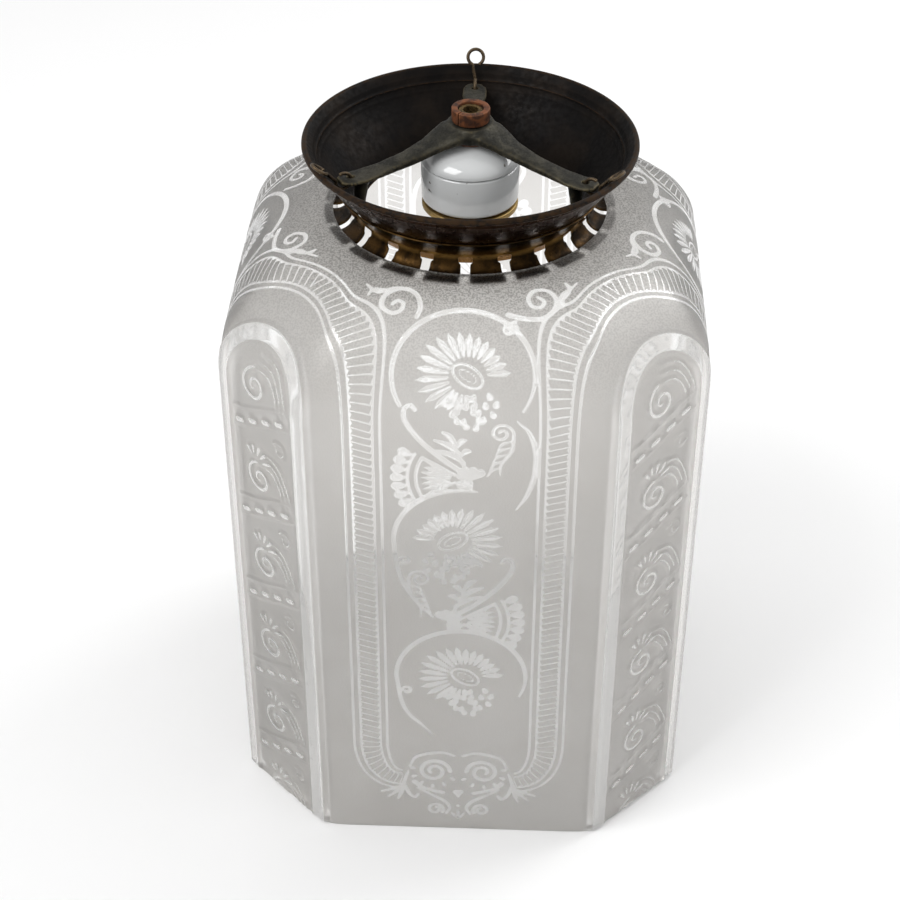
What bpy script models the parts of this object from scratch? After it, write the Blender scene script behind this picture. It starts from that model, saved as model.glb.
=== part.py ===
"""Antique pendant ceiling light: an etched glass hall-lantern shade hung in a spun brass gallery.

Metres, +Z up. The origin is the middle of the shade's open bottom rim, the front faces -Y,
and every piece is placed from the sizes below.
"""

import math

import bmesh
import bpy
from mathutils import Matrix, Vector

MM = 0.001
FIT = 0.3 * MM                  # running gap between pieces that touch
TURN = 2 * math.pi
CUTTER_TWIST = math.radians(4)

# Glass shade: a square with chamfered corners that closes over a shoulder to a round hole
SHADE_HALF = 110.4 * MM         # axis to a flat face
CHAMFER_DISTANCE = 125.5 * MM   # axis to a chamfered corner
CORNER_SHARPNESS = 60           # power of the outline's norm: higher is sharper
SHADE_HEIGHT = 299.5 * MM
SHOULDER_RISE = 51.5 * MM       # height of the shoulder above the straight walls
SHOULDER_POWER = 2.15           # 2 is an ellipse, higher is squarer
HOLE_R = 62.9 * MM
GLASS_WALL = 3.5 * MM
PAD_HALF = 32.0 * MM            # half width of the raised panel on each corner
PAD_RISE = 1.7 * MM
PAD_BORDER = 10.0 * MM
PAD_FIELD_DROP = 0.9 * MM
PAD_ARCH_LIFT = 5.0 * MM        # centre of the panel's round top, along the shoulder
PAD_EDGE = 2.5 * MM
FACE_STEPS = 5
CORNER_STEPS = 10
WALL_LEVELS = 4
SHOULDER_LEVELS = 13

# Gallery dish: a spun bowl without a bottom, its rim rolled over
DISH_WALL = 0.9 * MM
LIP_INSET = 13.4 * MM           # the lower opening's radius is this much under the hole's
LIP_DROP = 2.0 * MM             # and this much below the top of the glass
DISH_SEGMENTS = 64
FLARE_STEPS = 8
RIM_OVERHANG = 13.1 * MM        # rim radius is this much over the hole's
RIM_RISE = 33.0 * MM
RIM_CURL_R = 1.0 * MM
STEP_INSET = 4.5 * MM           # bead under the rim
STEP_DROP = 3.0 * MM
FLARE_SWING = 0.05              # how far the flare's S leaves a straight cone

# Glass fitter: a brass band round the dish's neck, its tabs bent out under the edge of the hole
FITTER_WALL = 0.8 * MM
BAND_TOP_SHARE = 0.50           # share of the dish's height that the band reaches up to
BAND_LOW_SHARE = 0.23
TAB_ROOT_RISE = 3.6 * MM
TAB_REACH = 3.9 * MM            # how far the tabs go under the glass
TAB_COUNT = 20
TAB_STEPS = 2
SLOT_WIDTH = 4.2 * MM
SLOT_ROOT_WIDTH = 6.5 * MM

# Spider: three cast arms, riveted through the dish and the band by a foot each
ARM_COUNT = 3
ARM_START_ANGLE = math.radians(90)
HUB_R = 11.0 * MM
HUB_TOP_RISE = 8.5 * MM         # over the dish's rim
HUB_THICKNESS = 7.8 * MM
ARM_ROOT_HALF = 8.6 * MM
ARM_HALF = 4.8 * MM
ARM_PAD_HALF = 6.0 * MM
ARM_DEPTH = 5.0 * MM
EYE_THICKNESS = 2.6 * MM
EYE_DROP = 6.3 * MM             # link axis below the dish's rim
FOOT_HALF = 3.0 * MM
FOOT_WIDTH_HALF = 4.0 * MM
FOOT_GAP = 0.6 * MM
FOOT_PLACE = 0.37               # share of the flare's height where the rivet sits
RIVET_R = 1.5 * MM
RIVET_HEAD_R = 2.4 * MM
RIVET_HEAD_HEIGHT = 0.8 * MM
RIVET_DEPTH = 4.0 * MM

# Chain links: wire bent to a loop at each end, the second a quarter turn from the first
WIRE_R = 0.85 * MM
LOOP_R = 3.7 * MM
LOOP_SPACING = 14.0 * MM
LOOP_OPENING = math.radians(25)
REAR_LINK_LEAN = math.radians(62)
LINK_INSET = 9.1 * MM           # between a link's loop and the dish's rim

# Threaded nipple and what it passes through
NIPPLE_R = 5.5 * MM
NIPPLE_BORE_R = 3.5 * MM
COLLAR_WALL = 2.9 * MM
COLLAR_HEIGHT = 6.2 * MM
COLLAR_SPLIT = 0.7 * MM
COLLAR_SPLIT_ANGLE = math.radians(232)
NIPPLE_SHORT = 1.2 * MM         # nipple end below the collar's top
WASHER_THICKNESS = 0.7 * MM
WASHER_R = 9.0 * MM
NUT_FLATS_HALF = 8.0 * MM
NUT_HEIGHT = 3.0 * MM
BUSH_FLANGE = 1.2 * MM
BUSH_BORE_R = 2.4 * MM
BUSH_SLEEVE = 4.0 * MM

# Porcelain lampholder, sized outwards from the lamp's screw shell
SHELL_R = 13.9 * MM
SHELL_WALL = 0.5 * MM
SHELL_LENGTH = 14.0 * MM
SHELL_THREAD = 0.45 * MM
SHELL_TURNS = 3
SKIRT_CLEAR = 1.4 * MM          # air between the shell and the porcelain
SKIRT_LEDGE = 1.9 * MM
SKIRT_NECK = 2.2 * MM
CAP_WALL = 2.7 * MM
CAP_RISE = 10.2 * MM
CAP_TOP_WALL = 2.8 * MM
SKIRT_HEIGHT = 19.7 * MM
SKIRT_NECK_HEIGHT = 3.6 * MM
SKIRT_FOOT_INSET = 4.0 * MM
SKIRT_FOOT_RISE = 3.4 * MM
CORE_THICKNESS = 5.0 * MM
RING_HEIGHT = 2.8 * MM
RING_WIDTH = 6.6 * MM
CONTACT_WIDTH_HALF = 2.4 * MM
CONTACT_THICKNESS = 0.6 * MM
CONTACT_OFFSET = 4.6 * MM       # axis to where a contact rises through the core
TERMINAL_OFFSET = 9.2 * MM
TERMINAL_SCREW_R = 1.2 * MM
TERMINAL_HEAD_R = 2.2 * MM
TERMINAL_HEAD_HEIGHT = 1.4 * MM
TERMINAL_SHANK = 3.6 * MM
CORE_SCREW_OFFSET = 9.6 * MM
CORE_SCREW_SHANK = 3.8 * MM

# Derived levels and radii
SHOULDER_Z = SHADE_HEIGHT - SHOULDER_RISE
LIP_R = HOLE_R - LIP_INSET + DISH_WALL / 2
LIP_Z = SHADE_HEIGHT - LIP_DROP
RIM_R = HOLE_R + RIM_OVERHANG
RIM_Z = SHADE_HEIGHT + RIM_RISE
STEP_R = RIM_R - STEP_INSET
STEP_Z = RIM_Z - STEP_DROP
TAB_ROOT_Z = SHADE_HEIGHT + TAB_ROOT_RISE
TAB_Z = SHADE_HEIGHT - GLASS_WALL - FIT - FITTER_WALL / 2
FITTER_OFFSET = DISH_WALL / 2 + FIT + FITTER_WALL / 2
CURL_CENTRE_R = RIM_R - DISH_WALL / 2 - RIM_CURL_R
CURL_CENTRE_Z = RIM_Z - RIM_CURL_R

HUB_TOP_Z = RIM_Z + HUB_TOP_RISE
HUB_BOTTOM_Z = HUB_TOP_Z - HUB_THICKNESS
LINK_AXIS_Z = RIM_Z - EYE_DROP
LINK_AXIS_R = RIM_R - LINK_INSET - LOOP_R
EYE_R = LINK_AXIS_R - LOOP_R
EYE_HOLE_R = WIRE_R + 2 * FIT
WEB_HALF = math.sqrt((LOOP_R - WIRE_R - FIT) ** 2 - (EYE_THICKNESS / 2) ** 2)
ARM_TIP_R = LINK_AXIS_R + WEB_HALF
ARM_ANGLES = [ARM_START_ANGLE + TURN * i / ARM_COUNT for i in range(ARM_COUNT)]

BORE_R = NIPPLE_R + FIT
COLLAR_BOTTOM_Z = HUB_TOP_Z + FIT
COLLAR_TOP_Z = COLLAR_BOTTOM_Z + COLLAR_HEIGHT
NIPPLE_TOP_Z = COLLAR_TOP_Z - NIPPLE_SHORT
WASHER_TOP_Z = HUB_BOTTOM_Z - FIT
CAP_TOP_Z = WASHER_TOP_Z - WASHER_THICKNESS - FIT
CAP_BOTTOM_Z = CAP_TOP_Z - CAP_RISE
NUT_TOP_Z = CAP_TOP_Z - CAP_TOP_WALL - FIT
NUT_BOTTOM_Z = NUT_TOP_Z - NUT_HEIGHT
NIPPLE_BOTTOM_Z = NUT_BOTTOM_Z + FIT

SKIRT_BORE_R = SHELL_R + SKIRT_CLEAR
CORE_R = SKIRT_BORE_R + SKIRT_LEDGE - FIT
SKIRT_NECK_R = CORE_R + FIT + SKIRT_NECK
HOLDER_R = SKIRT_NECK_R + FIT + CAP_WALL
SKIRT_TOP_Z = CAP_BOTTOM_Z - FIT
SKIRT_BOTTOM_Z = SKIRT_TOP_Z - SKIRT_HEIGHT
CORE_TOP_Z = SKIRT_TOP_Z + FIT
CORE_BOTTOM_Z = CORE_TOP_Z - CORE_THICKNESS
LEDGE_Z = CORE_BOTTOM_Z - FIT
SHELL_TOP_Z = CORE_BOTTOM_Z - FIT
SHELL_BOTTOM_Z = SHELL_TOP_Z - SHELL_LENGTH
RING_TOP_Z = SKIRT_BOTTOM_Z - FIT


# Materials

def material(name, colour, roughness, metallic=0.0, alpha=1.0):
    made = bpy.data.materials.new(name)
    made.use_nodes = True
    shader = made.node_tree.nodes["Principled BSDF"]
    shader.inputs["Base Color"].default_value = (*colour, 1.0)
    shader.inputs["Roughness"].default_value = roughness
    shader.inputs["Metallic"].default_value = metallic
    shader.inputs["Alpha"].default_value = alpha
    made.diffuse_color = (*colour, alpha)
    return made


# Geometry helpers

def polar(radius, angle, z):
    return Vector((radius * math.cos(angle), radius * math.sin(angle), z))


def add_object(name, mesh_data, finish, smooth_angle=35):
    bmesh.ops.recalc_face_normals(mesh_data, faces=mesh_data.faces)
    mesh = bpy.data.meshes.new(name)
    mesh_data.to_mesh(mesh)
    mesh_data.free()
    mesh.shade_smooth()
    mesh.set_sharp_from_angle(angle=math.radians(smooth_angle))
    made = bpy.data.objects.new(name, mesh)
    bpy.context.scene.collection.objects.link(made)
    if finish:
        mesh.materials.append(finish)
    return made


def skin_rings(mesh_data, rings, closed=False, caps=True):
    """Joins rings of equally many vertices, in order; closed also joins the last to the first."""
    count = len(rings[0])
    pairs = list(zip(rings, rings[1:]))
    if closed:
        pairs.append((rings[-1], rings[0]))
    for low, high in pairs:
        for i in range(count):
            j = (i + 1) % count
            mesh_data.faces.new((low[i], low[j], high[j], high[i]))
    if caps and not closed:
        mesh_data.faces.new(rings[0])
        mesh_data.faces.new(rings[-1])


def turned(name, outline, finish, segments=32):
    """Revolves a closed outline of (radius, z) points about the Z axis; the first and last points
    may both lie on the axis."""
    mesh_data = bmesh.new()
    solid = outline[0][0] == 0
    inner = outline[1:-1] if solid else outline
    rings = [[mesh_data.verts.new(polar(r, TURN * i / segments, z)) for i in range(segments)]
             for r, z in inner]
    skin_rings(mesh_data, rings, closed=not solid, caps=False)
    if solid:
        for (_, z), ring in ((outline[0], rings[0]), (outline[-1], rings[-1])):
            pole = mesh_data.verts.new((0, 0, z))
            for i in range(segments):
                mesh_data.faces.new((pole, ring[i], ring[(i + 1) % segments]))
    return add_object(name, mesh_data, finish)


def lofted(name, sections, finish, smooth_angle=35):
    mesh_data = bmesh.new()
    rings = [[mesh_data.verts.new(point) for point in section] for section in sections]
    skin_rings(mesh_data, rings)
    return add_object(name, mesh_data, finish, smooth_angle)


def swept(name, path, radius, finish, sides=8):
    """A round wire along path, its section carried along without twisting."""
    sections = []
    side = None
    for i, point in enumerate(path):
        ahead = (path[min(i + 1, len(path) - 1)] - path[max(i - 1, 0)]).normalized()
        if side is None:
            side = ahead.orthogonal().normalized()
        side = (side - ahead * side.dot(ahead)).normalized()
        up = ahead.cross(side)
        sections.append([point + radius * (math.cos(a) * side + math.sin(a) * up)
                         for a in (TURN * k / sides for k in range(sides))])
    return lofted(name, sections, finish, smooth_angle=60)


def move(made, place):
    made.data.transform(place)
    made.data.update()
    return made


def as_cutter(made):
    made.hide_render = True
    made.display_type = 'WIRE'
    return made


def combine(target, other, operation):
    as_cutter(other)
    step = target.modifiers.new(other.name, 'BOOLEAN')
    step.operation = operation
    step.object = other
    step.solver = 'EXACT'


def rod_cutter(name, radius, low, high, place=None, segments=20):
    """A round cutter, turned a little so that no edge of it lies along an edge of what it cuts."""
    made = turned(name, [(0, low), (radius, low), (radius, high), (0, high)], None, segments)
    return move(made, (place or Matrix.Identity(4)) @ Matrix.Rotation(CUTTER_TWIST, 4, 'Z'))


def box_cutter(name, low, high):
    mesh_data = bmesh.new()
    corners = [[mesh_data.verts.new((x, y, z)) for x, y in
                ((low[0], low[1]), (high[0], low[1]), (high[0], high[1]), (low[0], high[1]))]
               for z in (low[2], high[2])]
    skin_rings(mesh_data, corners)
    return add_object(name, mesh_data, None)


# Glass shade

def wall_radius(angle):
    """Radius of the straight walls: a rounded octagon with wide faces and narrow corners."""
    across, along = abs(math.cos(angle)), abs(math.sin(angle))
    diagonal = math.sqrt(2) * CHAMFER_DISTANCE
    terms = (across / SHADE_HALF, along / SHADE_HALF,
             (across + along) / diagonal, abs(across - along) / diagonal)
    return sum(term ** CORNER_SHARPNESS for term in terms) ** (-1 / CORNER_SHARPNESS)


def shoulder(radius, turn):
    """A point of the shoulder, from the wall (turn 0) to the hole (a quarter turn), and the
    outward normal there, both as (radial, vertical)."""
    power = 2 / SHOULDER_POWER
    across, up = max(0.0, math.cos(turn)), math.sin(turn)
    point = (HOLE_R + (radius - HOLE_R) * across ** power, SHOULDER_Z + SHOULDER_RISE * up ** power)
    normal = Vector((across ** (2 - power) / (radius - HOLE_R), up ** (2 - power) / SHOULDER_RISE))
    return point, normal.normalized()


def pad_height(sideways, above_shoulder):
    """How far the corner panel stands out of the glass at a place on the corner."""
    rise = max(0.0, above_shoulder - PAD_ARCH_LIFT)
    inside = PAD_HALF - math.hypot(sideways, rise)
    border = smooth_step(inside / PAD_EDGE)
    field = smooth_step((inside - PAD_BORDER) / PAD_EDGE)
    return PAD_RISE * border - PAD_FIELD_DROP * field


def smooth_step(share):
    share = min(1.0, max(0.0, share))
    return share * share * (3 - 2 * share)


def plan_angles():
    """Angles of the shade's upright mesh lines: even along each flat face and each corner."""
    face_half = math.sqrt(2) * CHAMFER_DISTANCE - SHADE_HALF
    corner_half = (SHADE_HALF - face_half) / math.sqrt(2)
    face = [math.atan2(face_half * (2 * i / FACE_STEPS - 1), SHADE_HALF) for i in range(FACE_STEPS)]
    corner = [math.pi / 4 + math.atan2(corner_half * (2 * i / CORNER_STEPS - 1), CHAMFER_DISTANCE)
              for i in range(CORNER_STEPS)]
    return [quarter * math.pi / 2 + a for quarter in range(4) for a in face + corner]


def shade_levels():
    """(height or None, shoulder turn or None, length along the shoulder) from the rim upwards."""
    levels = [(SHOULDER_Z * i / WALL_LEVELS, None, -SHOULDER_Z * (1 - i / WALL_LEVELS))
              for i in range(WALL_LEVELS)]
    along = 0.0
    last = None
    for i in range(SHOULDER_LEVELS + 1):
        turn = math.pi / 2 * i / SHOULDER_LEVELS
        point, _ = shoulder(CHAMFER_DISTANCE, turn)
        if last:
            along += math.dist(point, last)
        last = point
        levels.append((None, turn, along))
    return levels


def shade_ring(mesh_data, level, depth):
    """One ring of the glass, depth below its outer surface; the panels show only outside."""
    z, turn, along = level
    ring = []
    for angle in plan_angles():
        radius = wall_radius(angle)
        if turn is None:
            point, normal = (radius, z), Vector((1, 0))
        else:
            point, normal = shoulder(radius, turn)
        if depth:
            radial, height = point[0] - depth * normal.x, point[1] - depth * normal.y
        else:
            off_corner = (angle % (math.pi / 2)) - math.pi / 4
            rise = pad_height(point[0] * math.sin(off_corner), along)
            radial, height = point[0] + rise * normal.x, point[1] + rise * normal.y
        ring.append(mesh_data.verts.new(polar(radial, angle, height)))
    return ring


def make_shade(finish):
    mesh_data = bmesh.new()
    levels = shade_levels()
    outer = [shade_ring(mesh_data, level, 0) for level in levels]
    inner = [shade_ring(mesh_data, level, GLASS_WALL) for level in levels]
    inner[-1] = [mesh_data.verts.new(polar(HOLE_R, a, SHADE_HEIGHT - GLASS_WALL))
                 for a in plan_angles()]
    skin_rings(mesh_data, outer + inner[::-1], closed=True)
    loose = [v for v in mesh_data.verts if not v.link_faces]
    bmesh.ops.delete(mesh_data, geom=loose, context='VERTS')
    return add_object("glass_shade", mesh_data, finish, smooth_angle=50)


# Gallery dish and glass fitter

def flare_point(share, offset=0.0):
    """The dish's middle surface between its lower opening (0) and the bead under its rim (1), or a
    surface that lies offset outside it, as (radius, z)."""
    run, rise = STEP_R - LIP_R, STEP_Z - LIP_Z
    radius = LIP_R + run * (share - FLARE_SWING * math.sin(TURN * share))
    slope = Vector((run * (1 - FLARE_SWING * TURN * math.cos(TURN * share)), rise)).normalized()
    return radius + offset * slope.y, LIP_Z + rise * share - offset * slope.x


def tab_point(share):
    """The tabs' curve from their root (0) to where they lie flat under the glass (1)."""
    turn = share * math.pi / 2
    root_r = flare_point(BAND_LOW_SHARE, FITTER_OFFSET)[0]
    flat_r = HOLE_R - 2 * FIT
    return root_r + (flat_r - root_r) * (1 - math.cos(turn)), \
        TAB_ROOT_Z - (TAB_ROOT_Z - TAB_Z) * math.sin(turn)


def spun_sheet(name, grid_rows, angles, is_open, thickness, finish):
    """A sheet through rows of (radius, z, slot width), thickened about its middle; is_open tells
    which cells are left out."""
    mesh_data = bmesh.new()
    grid = [[mesh_data.verts.new(polar(radius, angle, z)) for angle in angles(slot / radius)]
            for radius, z, slot in grid_rows]
    for row, (low, high) in enumerate(zip(grid, grid[1:])):
        for i in range(len(low)):
            if not is_open(row, i):
                j = (i + 1) % len(low)
                mesh_data.faces.new((low[i], low[j], high[j], high[i]))
    sheet = add_object(name, mesh_data, finish, smooth_angle=50)
    wall = sheet.modifiers.new("sheet", 'SOLIDIFY')
    wall.thickness = thickness
    wall.offset = 0
    wall.use_even_offset = True
    return sheet


def drill(made, rivet_places):
    for i, place in enumerate(rivet_places):
        hole = rod_cutter(f"{made.name}_hole_{i + 1}", RIVET_R + FIT, -3 * MM, 3 * MM, place, 12)
        combine(made, hole, 'DIFFERENCE')


def make_dish(finish, rivet_places):
    flare = [flare_point(i / FLARE_STEPS) for i in range(FLARE_STEPS + 1)]
    curl = [(CURL_CENTRE_R + RIM_CURL_R * math.cos(a), CURL_CENTRE_Z + RIM_CURL_R * math.sin(a))
            for a in (math.radians(d) for d in (110, 55, 0, -55))]
    rows = [(radius, z, 0) for radius, z in flare + curl]
    dish = spun_sheet("gallery_dish", rows,
                      lambda gap: [TURN * i / DISH_SEGMENTS for i in range(DISH_SEGMENTS)],
                      lambda row, i: False, DISH_WALL, finish)
    drill(dish, rivet_places)


def make_fitter(finish, rivet_places):
    pitch = TURN / TAB_COUNT

    def angles(gap):
        return [-math.pi / 2 + pitch * tab + gap / 2 + (pitch - gap) * column / TAB_STEPS
                for tab in range(TAB_COUNT) for column in range(TAB_STEPS + 1)]

    tabs = [(HOLE_R + TAB_REACH, TAB_Z, SLOT_WIDTH)]
    tabs += [(*tab_point(share), SLOT_WIDTH) for share in (1, 0.7, 0.4)]
    tabs += [(*tab_point(0.15), SLOT_ROOT_WIDTH)]
    slotted_rows = len(tabs)
    band = [(*tab_point(0), SLOT_ROOT_WIDTH)]
    steps = 3
    band += [(*flare_point(BAND_LOW_SHARE + (BAND_TOP_SHARE - BAND_LOW_SHARE) * i / steps,
                           FITTER_OFFSET), SLOT_ROOT_WIDTH) for i in range(steps + 1)]
    fitter = spun_sheet("glass_fitter", tabs + band, angles,
                        lambda row, i: row < slotted_rows and i % (TAB_STEPS + 1) == TAB_STEPS,
                        FITTER_WALL, finish)
    drill(fitter, rivet_places)


# Spider and its rivets

def rivet_place(angle):
    """Frame of a rivet: its origin on the dish's middle surface, +Z out through the wall."""
    radius, z = flare_point(FOOT_PLACE)
    outside = flare_point(FOOT_PLACE, 1.0)
    along = Vector((z - outside[1], outside[0] - radius))
    out = Vector((along.y * math.cos(angle), along.y * math.sin(angle), -along.x))
    up = Vector((along.x * math.cos(angle), along.x * math.sin(angle), along.y))
    side = out.cross(up)
    frame = Matrix((up, side, out)).transposed().to_4x4()
    return Matrix.Translation(polar(radius, angle, z)) @ frame


def rounded_section(radius, half, low, high, angle):
    """An upright section across an arm: a rectangle with clipped corners."""
    clip = min(half, (high - low) / 2) * 0.45
    corners = [(half, low + clip), (half, high - clip), (half - clip, high), (clip - half, high),
               (-half, high - clip), (-half, low + clip), (clip - half, low), (half - clip, low)]
    turned_to = Matrix.Rotation(angle, 4, 'Z')
    return [turned_to @ Vector((radius, side, z)) for side, z in corners]


def make_arm(index, angle):
    eye_low = LINK_AXIS_Z - EYE_THICKNESS / 2
    eye_high = LINK_AXIS_Z + EYE_THICKNESS / 2
    fall = HUB_TOP_Z - eye_high
    shapes = [(0.0, ARM_ROOT_HALF, 1.0), (0.16, ARM_ROOT_HALF, 0.93), (0.24, 6.9 * MM, 0.72),
              (0.34, 5.4 * MM, 0.54), (0.5, ARM_HALF, 0.33), (0.68, ARM_HALF, 0.15),
              (0.8, ARM_PAD_HALF, 0.04)]
    sections = []
    for share, half, height in shapes:
        high = eye_high + fall * height
        low = max(high - ARM_DEPTH, eye_low) if height < 0.5 else high - ARM_DEPTH
        if height > 0.9:
            low = HUB_BOTTOM_Z
        sections.append(rounded_section(ARM_TIP_R * share, half, low, high, angle))
    for radius, half in ((EYE_R, ARM_PAD_HALF), (EYE_R + 2.5 * MM, 5.4 * MM), (ARM_TIP_R, 3.2 * MM)):
        sections.append(rounded_section(radius, half, eye_low, eye_high, angle))
    return lofted(f"arm_{index}", sections, None)


def make_foot(index, angle):
    place = rivet_place(angle)
    base = -(DISH_WALL / 2 + FOOT_GAP)
    flat = [place @ Vector((u * FOOT_HALF, -v * FOOT_WIDTH_HALF, base))
            for u, v in ((-1, -1), (1, -1), (1, 1), (-1, 1))]
    top_r = EYE_R - 5.5 * MM
    turned_to = Matrix.Rotation(angle, 4, 'Z')
    top = [turned_to @ Vector((top_r + u * FOOT_HALF, v * FOOT_WIDTH_HALF, LINK_AXIS_Z))
           for u, v in ((-1, -1), (1, -1), (1, 1), (-1, 1))]
    return lofted(f"foot_{index}", [flat, top], None)


def make_spider(finish, rivet_places):
    edge = 1.2 * MM
    spider = turned("spider", [(0, HUB_BOTTOM_Z), (HUB_R - edge, HUB_BOTTOM_Z),
                               (HUB_R, HUB_BOTTOM_Z + edge), (HUB_R, HUB_TOP_Z - edge),
                               (HUB_R - edge, HUB_TOP_Z), (0, HUB_TOP_Z)], finish, segments=36)
    for i, angle in enumerate(ARM_ANGLES):
        combine(spider, make_arm(i + 1, angle), 'UNION')
        combine(spider, make_foot(i + 1, angle), 'UNION')
    bore = rod_cutter("hub_bore", BORE_R, HUB_BOTTOM_Z - MM, HUB_TOP_Z + MM, segments=32)
    combine(spider, bore, 'DIFFERENCE')
    for i, angle in enumerate(ARM_ANGLES):
        eye = rod_cutter(f"eye_{i + 1}", EYE_HOLE_R, -4 * MM, 4 * MM,
                         Matrix.Translation(polar(EYE_R, angle, LINK_AXIS_Z)), segments=16)
        combine(spider, eye, 'DIFFERENCE')
        blind = rod_cutter(f"foot_hole_{i + 1}", RIVET_R + FIT, -(RIVET_DEPTH + FIT), 0,
                           rivet_places[i], segments=12)
        combine(spider, blind, 'DIFFERENCE')
    return spider


def make_rivet(index, place, finish):
    seat = FITTER_OFFSET + FITTER_WALL / 2 + 1.5 * FIT
    dome = [(RIVET_HEAD_R * math.cos(a), seat + RIVET_HEAD_HEIGHT * math.sin(a))
            for a in (math.pi / 2 * k / 4 for k in range(4))]
    outline = [(0, -RIVET_DEPTH), (RIVET_R, -RIVET_DEPTH), (RIVET_R, seat), *dome,
               (0, seat + RIVET_HEAD_HEIGHT)]
    return move(turned(f"arm_rivet_{index}", outline, finish, segments=16), place)


# Chain links

def rest_lean():
    """The angle above level at which a link lies on the dish's rolled rim."""
    across = CURL_CENTRE_R - LINK_AXIS_R
    up = CURL_CENTRE_Z - LINK_AXIS_Z
    clear = RIM_CURL_R + DISH_WALL / 2 + WIRE_R + FIT
    return math.atan2(up, across) + math.asin(clear / math.hypot(across, up))


def link_path():
    """The wire's middle line: one loop upright about the joint's axis, the other lying flat."""
    steps = 13
    sweep = TURN - 2 * LOOP_OPENING
    inner = [LOOP_OPENING + sweep * k / steps for k in range(steps + 1)]
    first = [Vector((LOOP_R * math.cos(a), 0, LOOP_R * math.sin(a))) for a in inner]
    outer = [math.pi - LOOP_OPENING - sweep * k / steps for k in range(steps + 1)]
    second = [Vector((LOOP_SPACING + LOOP_R * math.cos(a), LOOP_R * math.sin(a), 0)) for a in outer]
    middle = (first[-1] + second[0]) / 2
    return first + [middle] + second


def make_link(index, angle, lean, finish):
    made = swept(f"chain_link_{index}", link_path(), WIRE_R, finish)
    place = Matrix.Translation(polar(LINK_AXIS_R, angle, LINK_AXIS_Z)) \
        @ Matrix.Rotation(angle, 4, 'Z') @ Matrix.Rotation(-lean, 4, 'Y')
    return move(made, place)


# Collar, nipple, washer, nut and bush

def make_collar(finish):
    outer = BORE_R + COLLAR_WALL
    edge = 0.8 * MM
    collar = turned("collar", [(BORE_R, COLLAR_BOTTOM_Z), (outer, COLLAR_BOTTOM_Z),
                               (outer, COLLAR_TOP_Z - edge), (outer - edge, COLLAR_TOP_Z),
                               (BORE_R, COLLAR_TOP_Z)], finish)
    split = box_cutter("collar_split", (0, -COLLAR_SPLIT / 2, COLLAR_BOTTOM_Z - MM),
                       (outer + MM, COLLAR_SPLIT / 2, COLLAR_TOP_Z + MM))
    move(split, Matrix.Rotation(COLLAR_SPLIT_ANGLE, 4, 'Z'))
    combine(collar, split, 'DIFFERENCE')
    return collar


def tube(name, inner, outer, low, high, finish, segments=32):
    return turned(name, [(inner, low), (outer, low), (outer, high), (inner, high)], finish, segments)


def make_nut(finish):
    corner = NUT_FLATS_HALF / math.cos(math.pi / 6)
    mesh_data = bmesh.new()
    rings = []
    for radius, z, hexagonal in ((corner, NUT_BOTTOM_Z, True), (corner, NUT_TOP_Z, True),
                                 (BORE_R, NUT_TOP_Z, False), (BORE_R, NUT_BOTTOM_Z, False)):
        ring = []
        for i in range(24):
            angle = TURN * i / 24
            off_flat = (angle % (math.pi / 3)) - math.pi / 6
            reach = NUT_FLATS_HALF / math.cos(off_flat) if hexagonal else radius
            ring.append(mesh_data.verts.new(polar(reach, angle, z)))
        rings.append(ring)
    skin_rings(mesh_data, rings, closed=True)
    return add_object("cap_nut", mesh_data, finish)


def make_bush(finish):
    sleeve = NIPPLE_BORE_R - FIT
    top = NIPPLE_BOTTOM_Z - FIT
    low = top - BUSH_FLANGE
    return turned("entry_bush", [(BUSH_BORE_R, low), (NIPPLE_R, low), (NIPPLE_R, top), (sleeve, top),
                                 (sleeve, top + BUSH_SLEEVE), (BUSH_BORE_R, top + BUSH_SLEEVE)],
                  finish, segments=24)


# Porcelain lampholder

def make_cap(finish):
    outer = [(HOLDER_R * math.cos(a), CAP_BOTTOM_Z + CAP_RISE * math.sin(a))
             for a in (math.radians(d) for d in (0, 12, 24, 36, 48, 60, 70))]
    inner_r = SKIRT_NECK_R + FIT
    ceiling = CAP_TOP_Z - CAP_TOP_WALL
    inner = [(NUT_FLATS_HALF + 2.5 * MM, ceiling), (inner_r - 2.5 * MM, ceiling - 2.3 * MM),
             (inner_r, SKIRT_TOP_Z + SKIRT_NECK_HEIGHT + FIT)]
    outline = outer + [(BORE_R + MM, CAP_TOP_Z), (BORE_R, CAP_TOP_Z), (BORE_R, ceiling)] + inner \
        + [(inner_r, CAP_BOTTOM_Z)]
    return turned("porcelain_cap", outline, finish)


def make_skirt(finish):
    neck_top = SKIRT_TOP_Z + SKIRT_NECK_HEIGHT
    return turned("porcelain_skirt", [
        (SKIRT_BORE_R, SKIRT_BOTTOM_Z), (HOLDER_R - SKIRT_FOOT_INSET, SKIRT_BOTTOM_Z),
        (HOLDER_R - 0.3 * SKIRT_FOOT_INSET, SKIRT_BOTTOM_Z + 0.5 * SKIRT_FOOT_RISE),
        (HOLDER_R, SKIRT_BOTTOM_Z + SKIRT_FOOT_RISE), (HOLDER_R, SKIRT_TOP_Z),
        (SKIRT_NECK_R, SKIRT_TOP_Z), (SKIRT_NECK_R, neck_top), (CORE_R + FIT, neck_top),
        (CORE_R + FIT, LEDGE_Z), (SKIRT_BORE_R, LEDGE_Z)], finish)


def make_shade_ring(finish):
    outer = HOLDER_R - 0.3 * MM
    low = RING_TOP_Z - RING_HEIGHT
    return turned("shade_ring", [(outer - RING_WIDTH, low), (outer - MM, low), (outer, low + MM),
                                 (outer, RING_TOP_Z), (outer - RING_WIDTH, RING_TOP_Z)], finish, 40)


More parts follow.
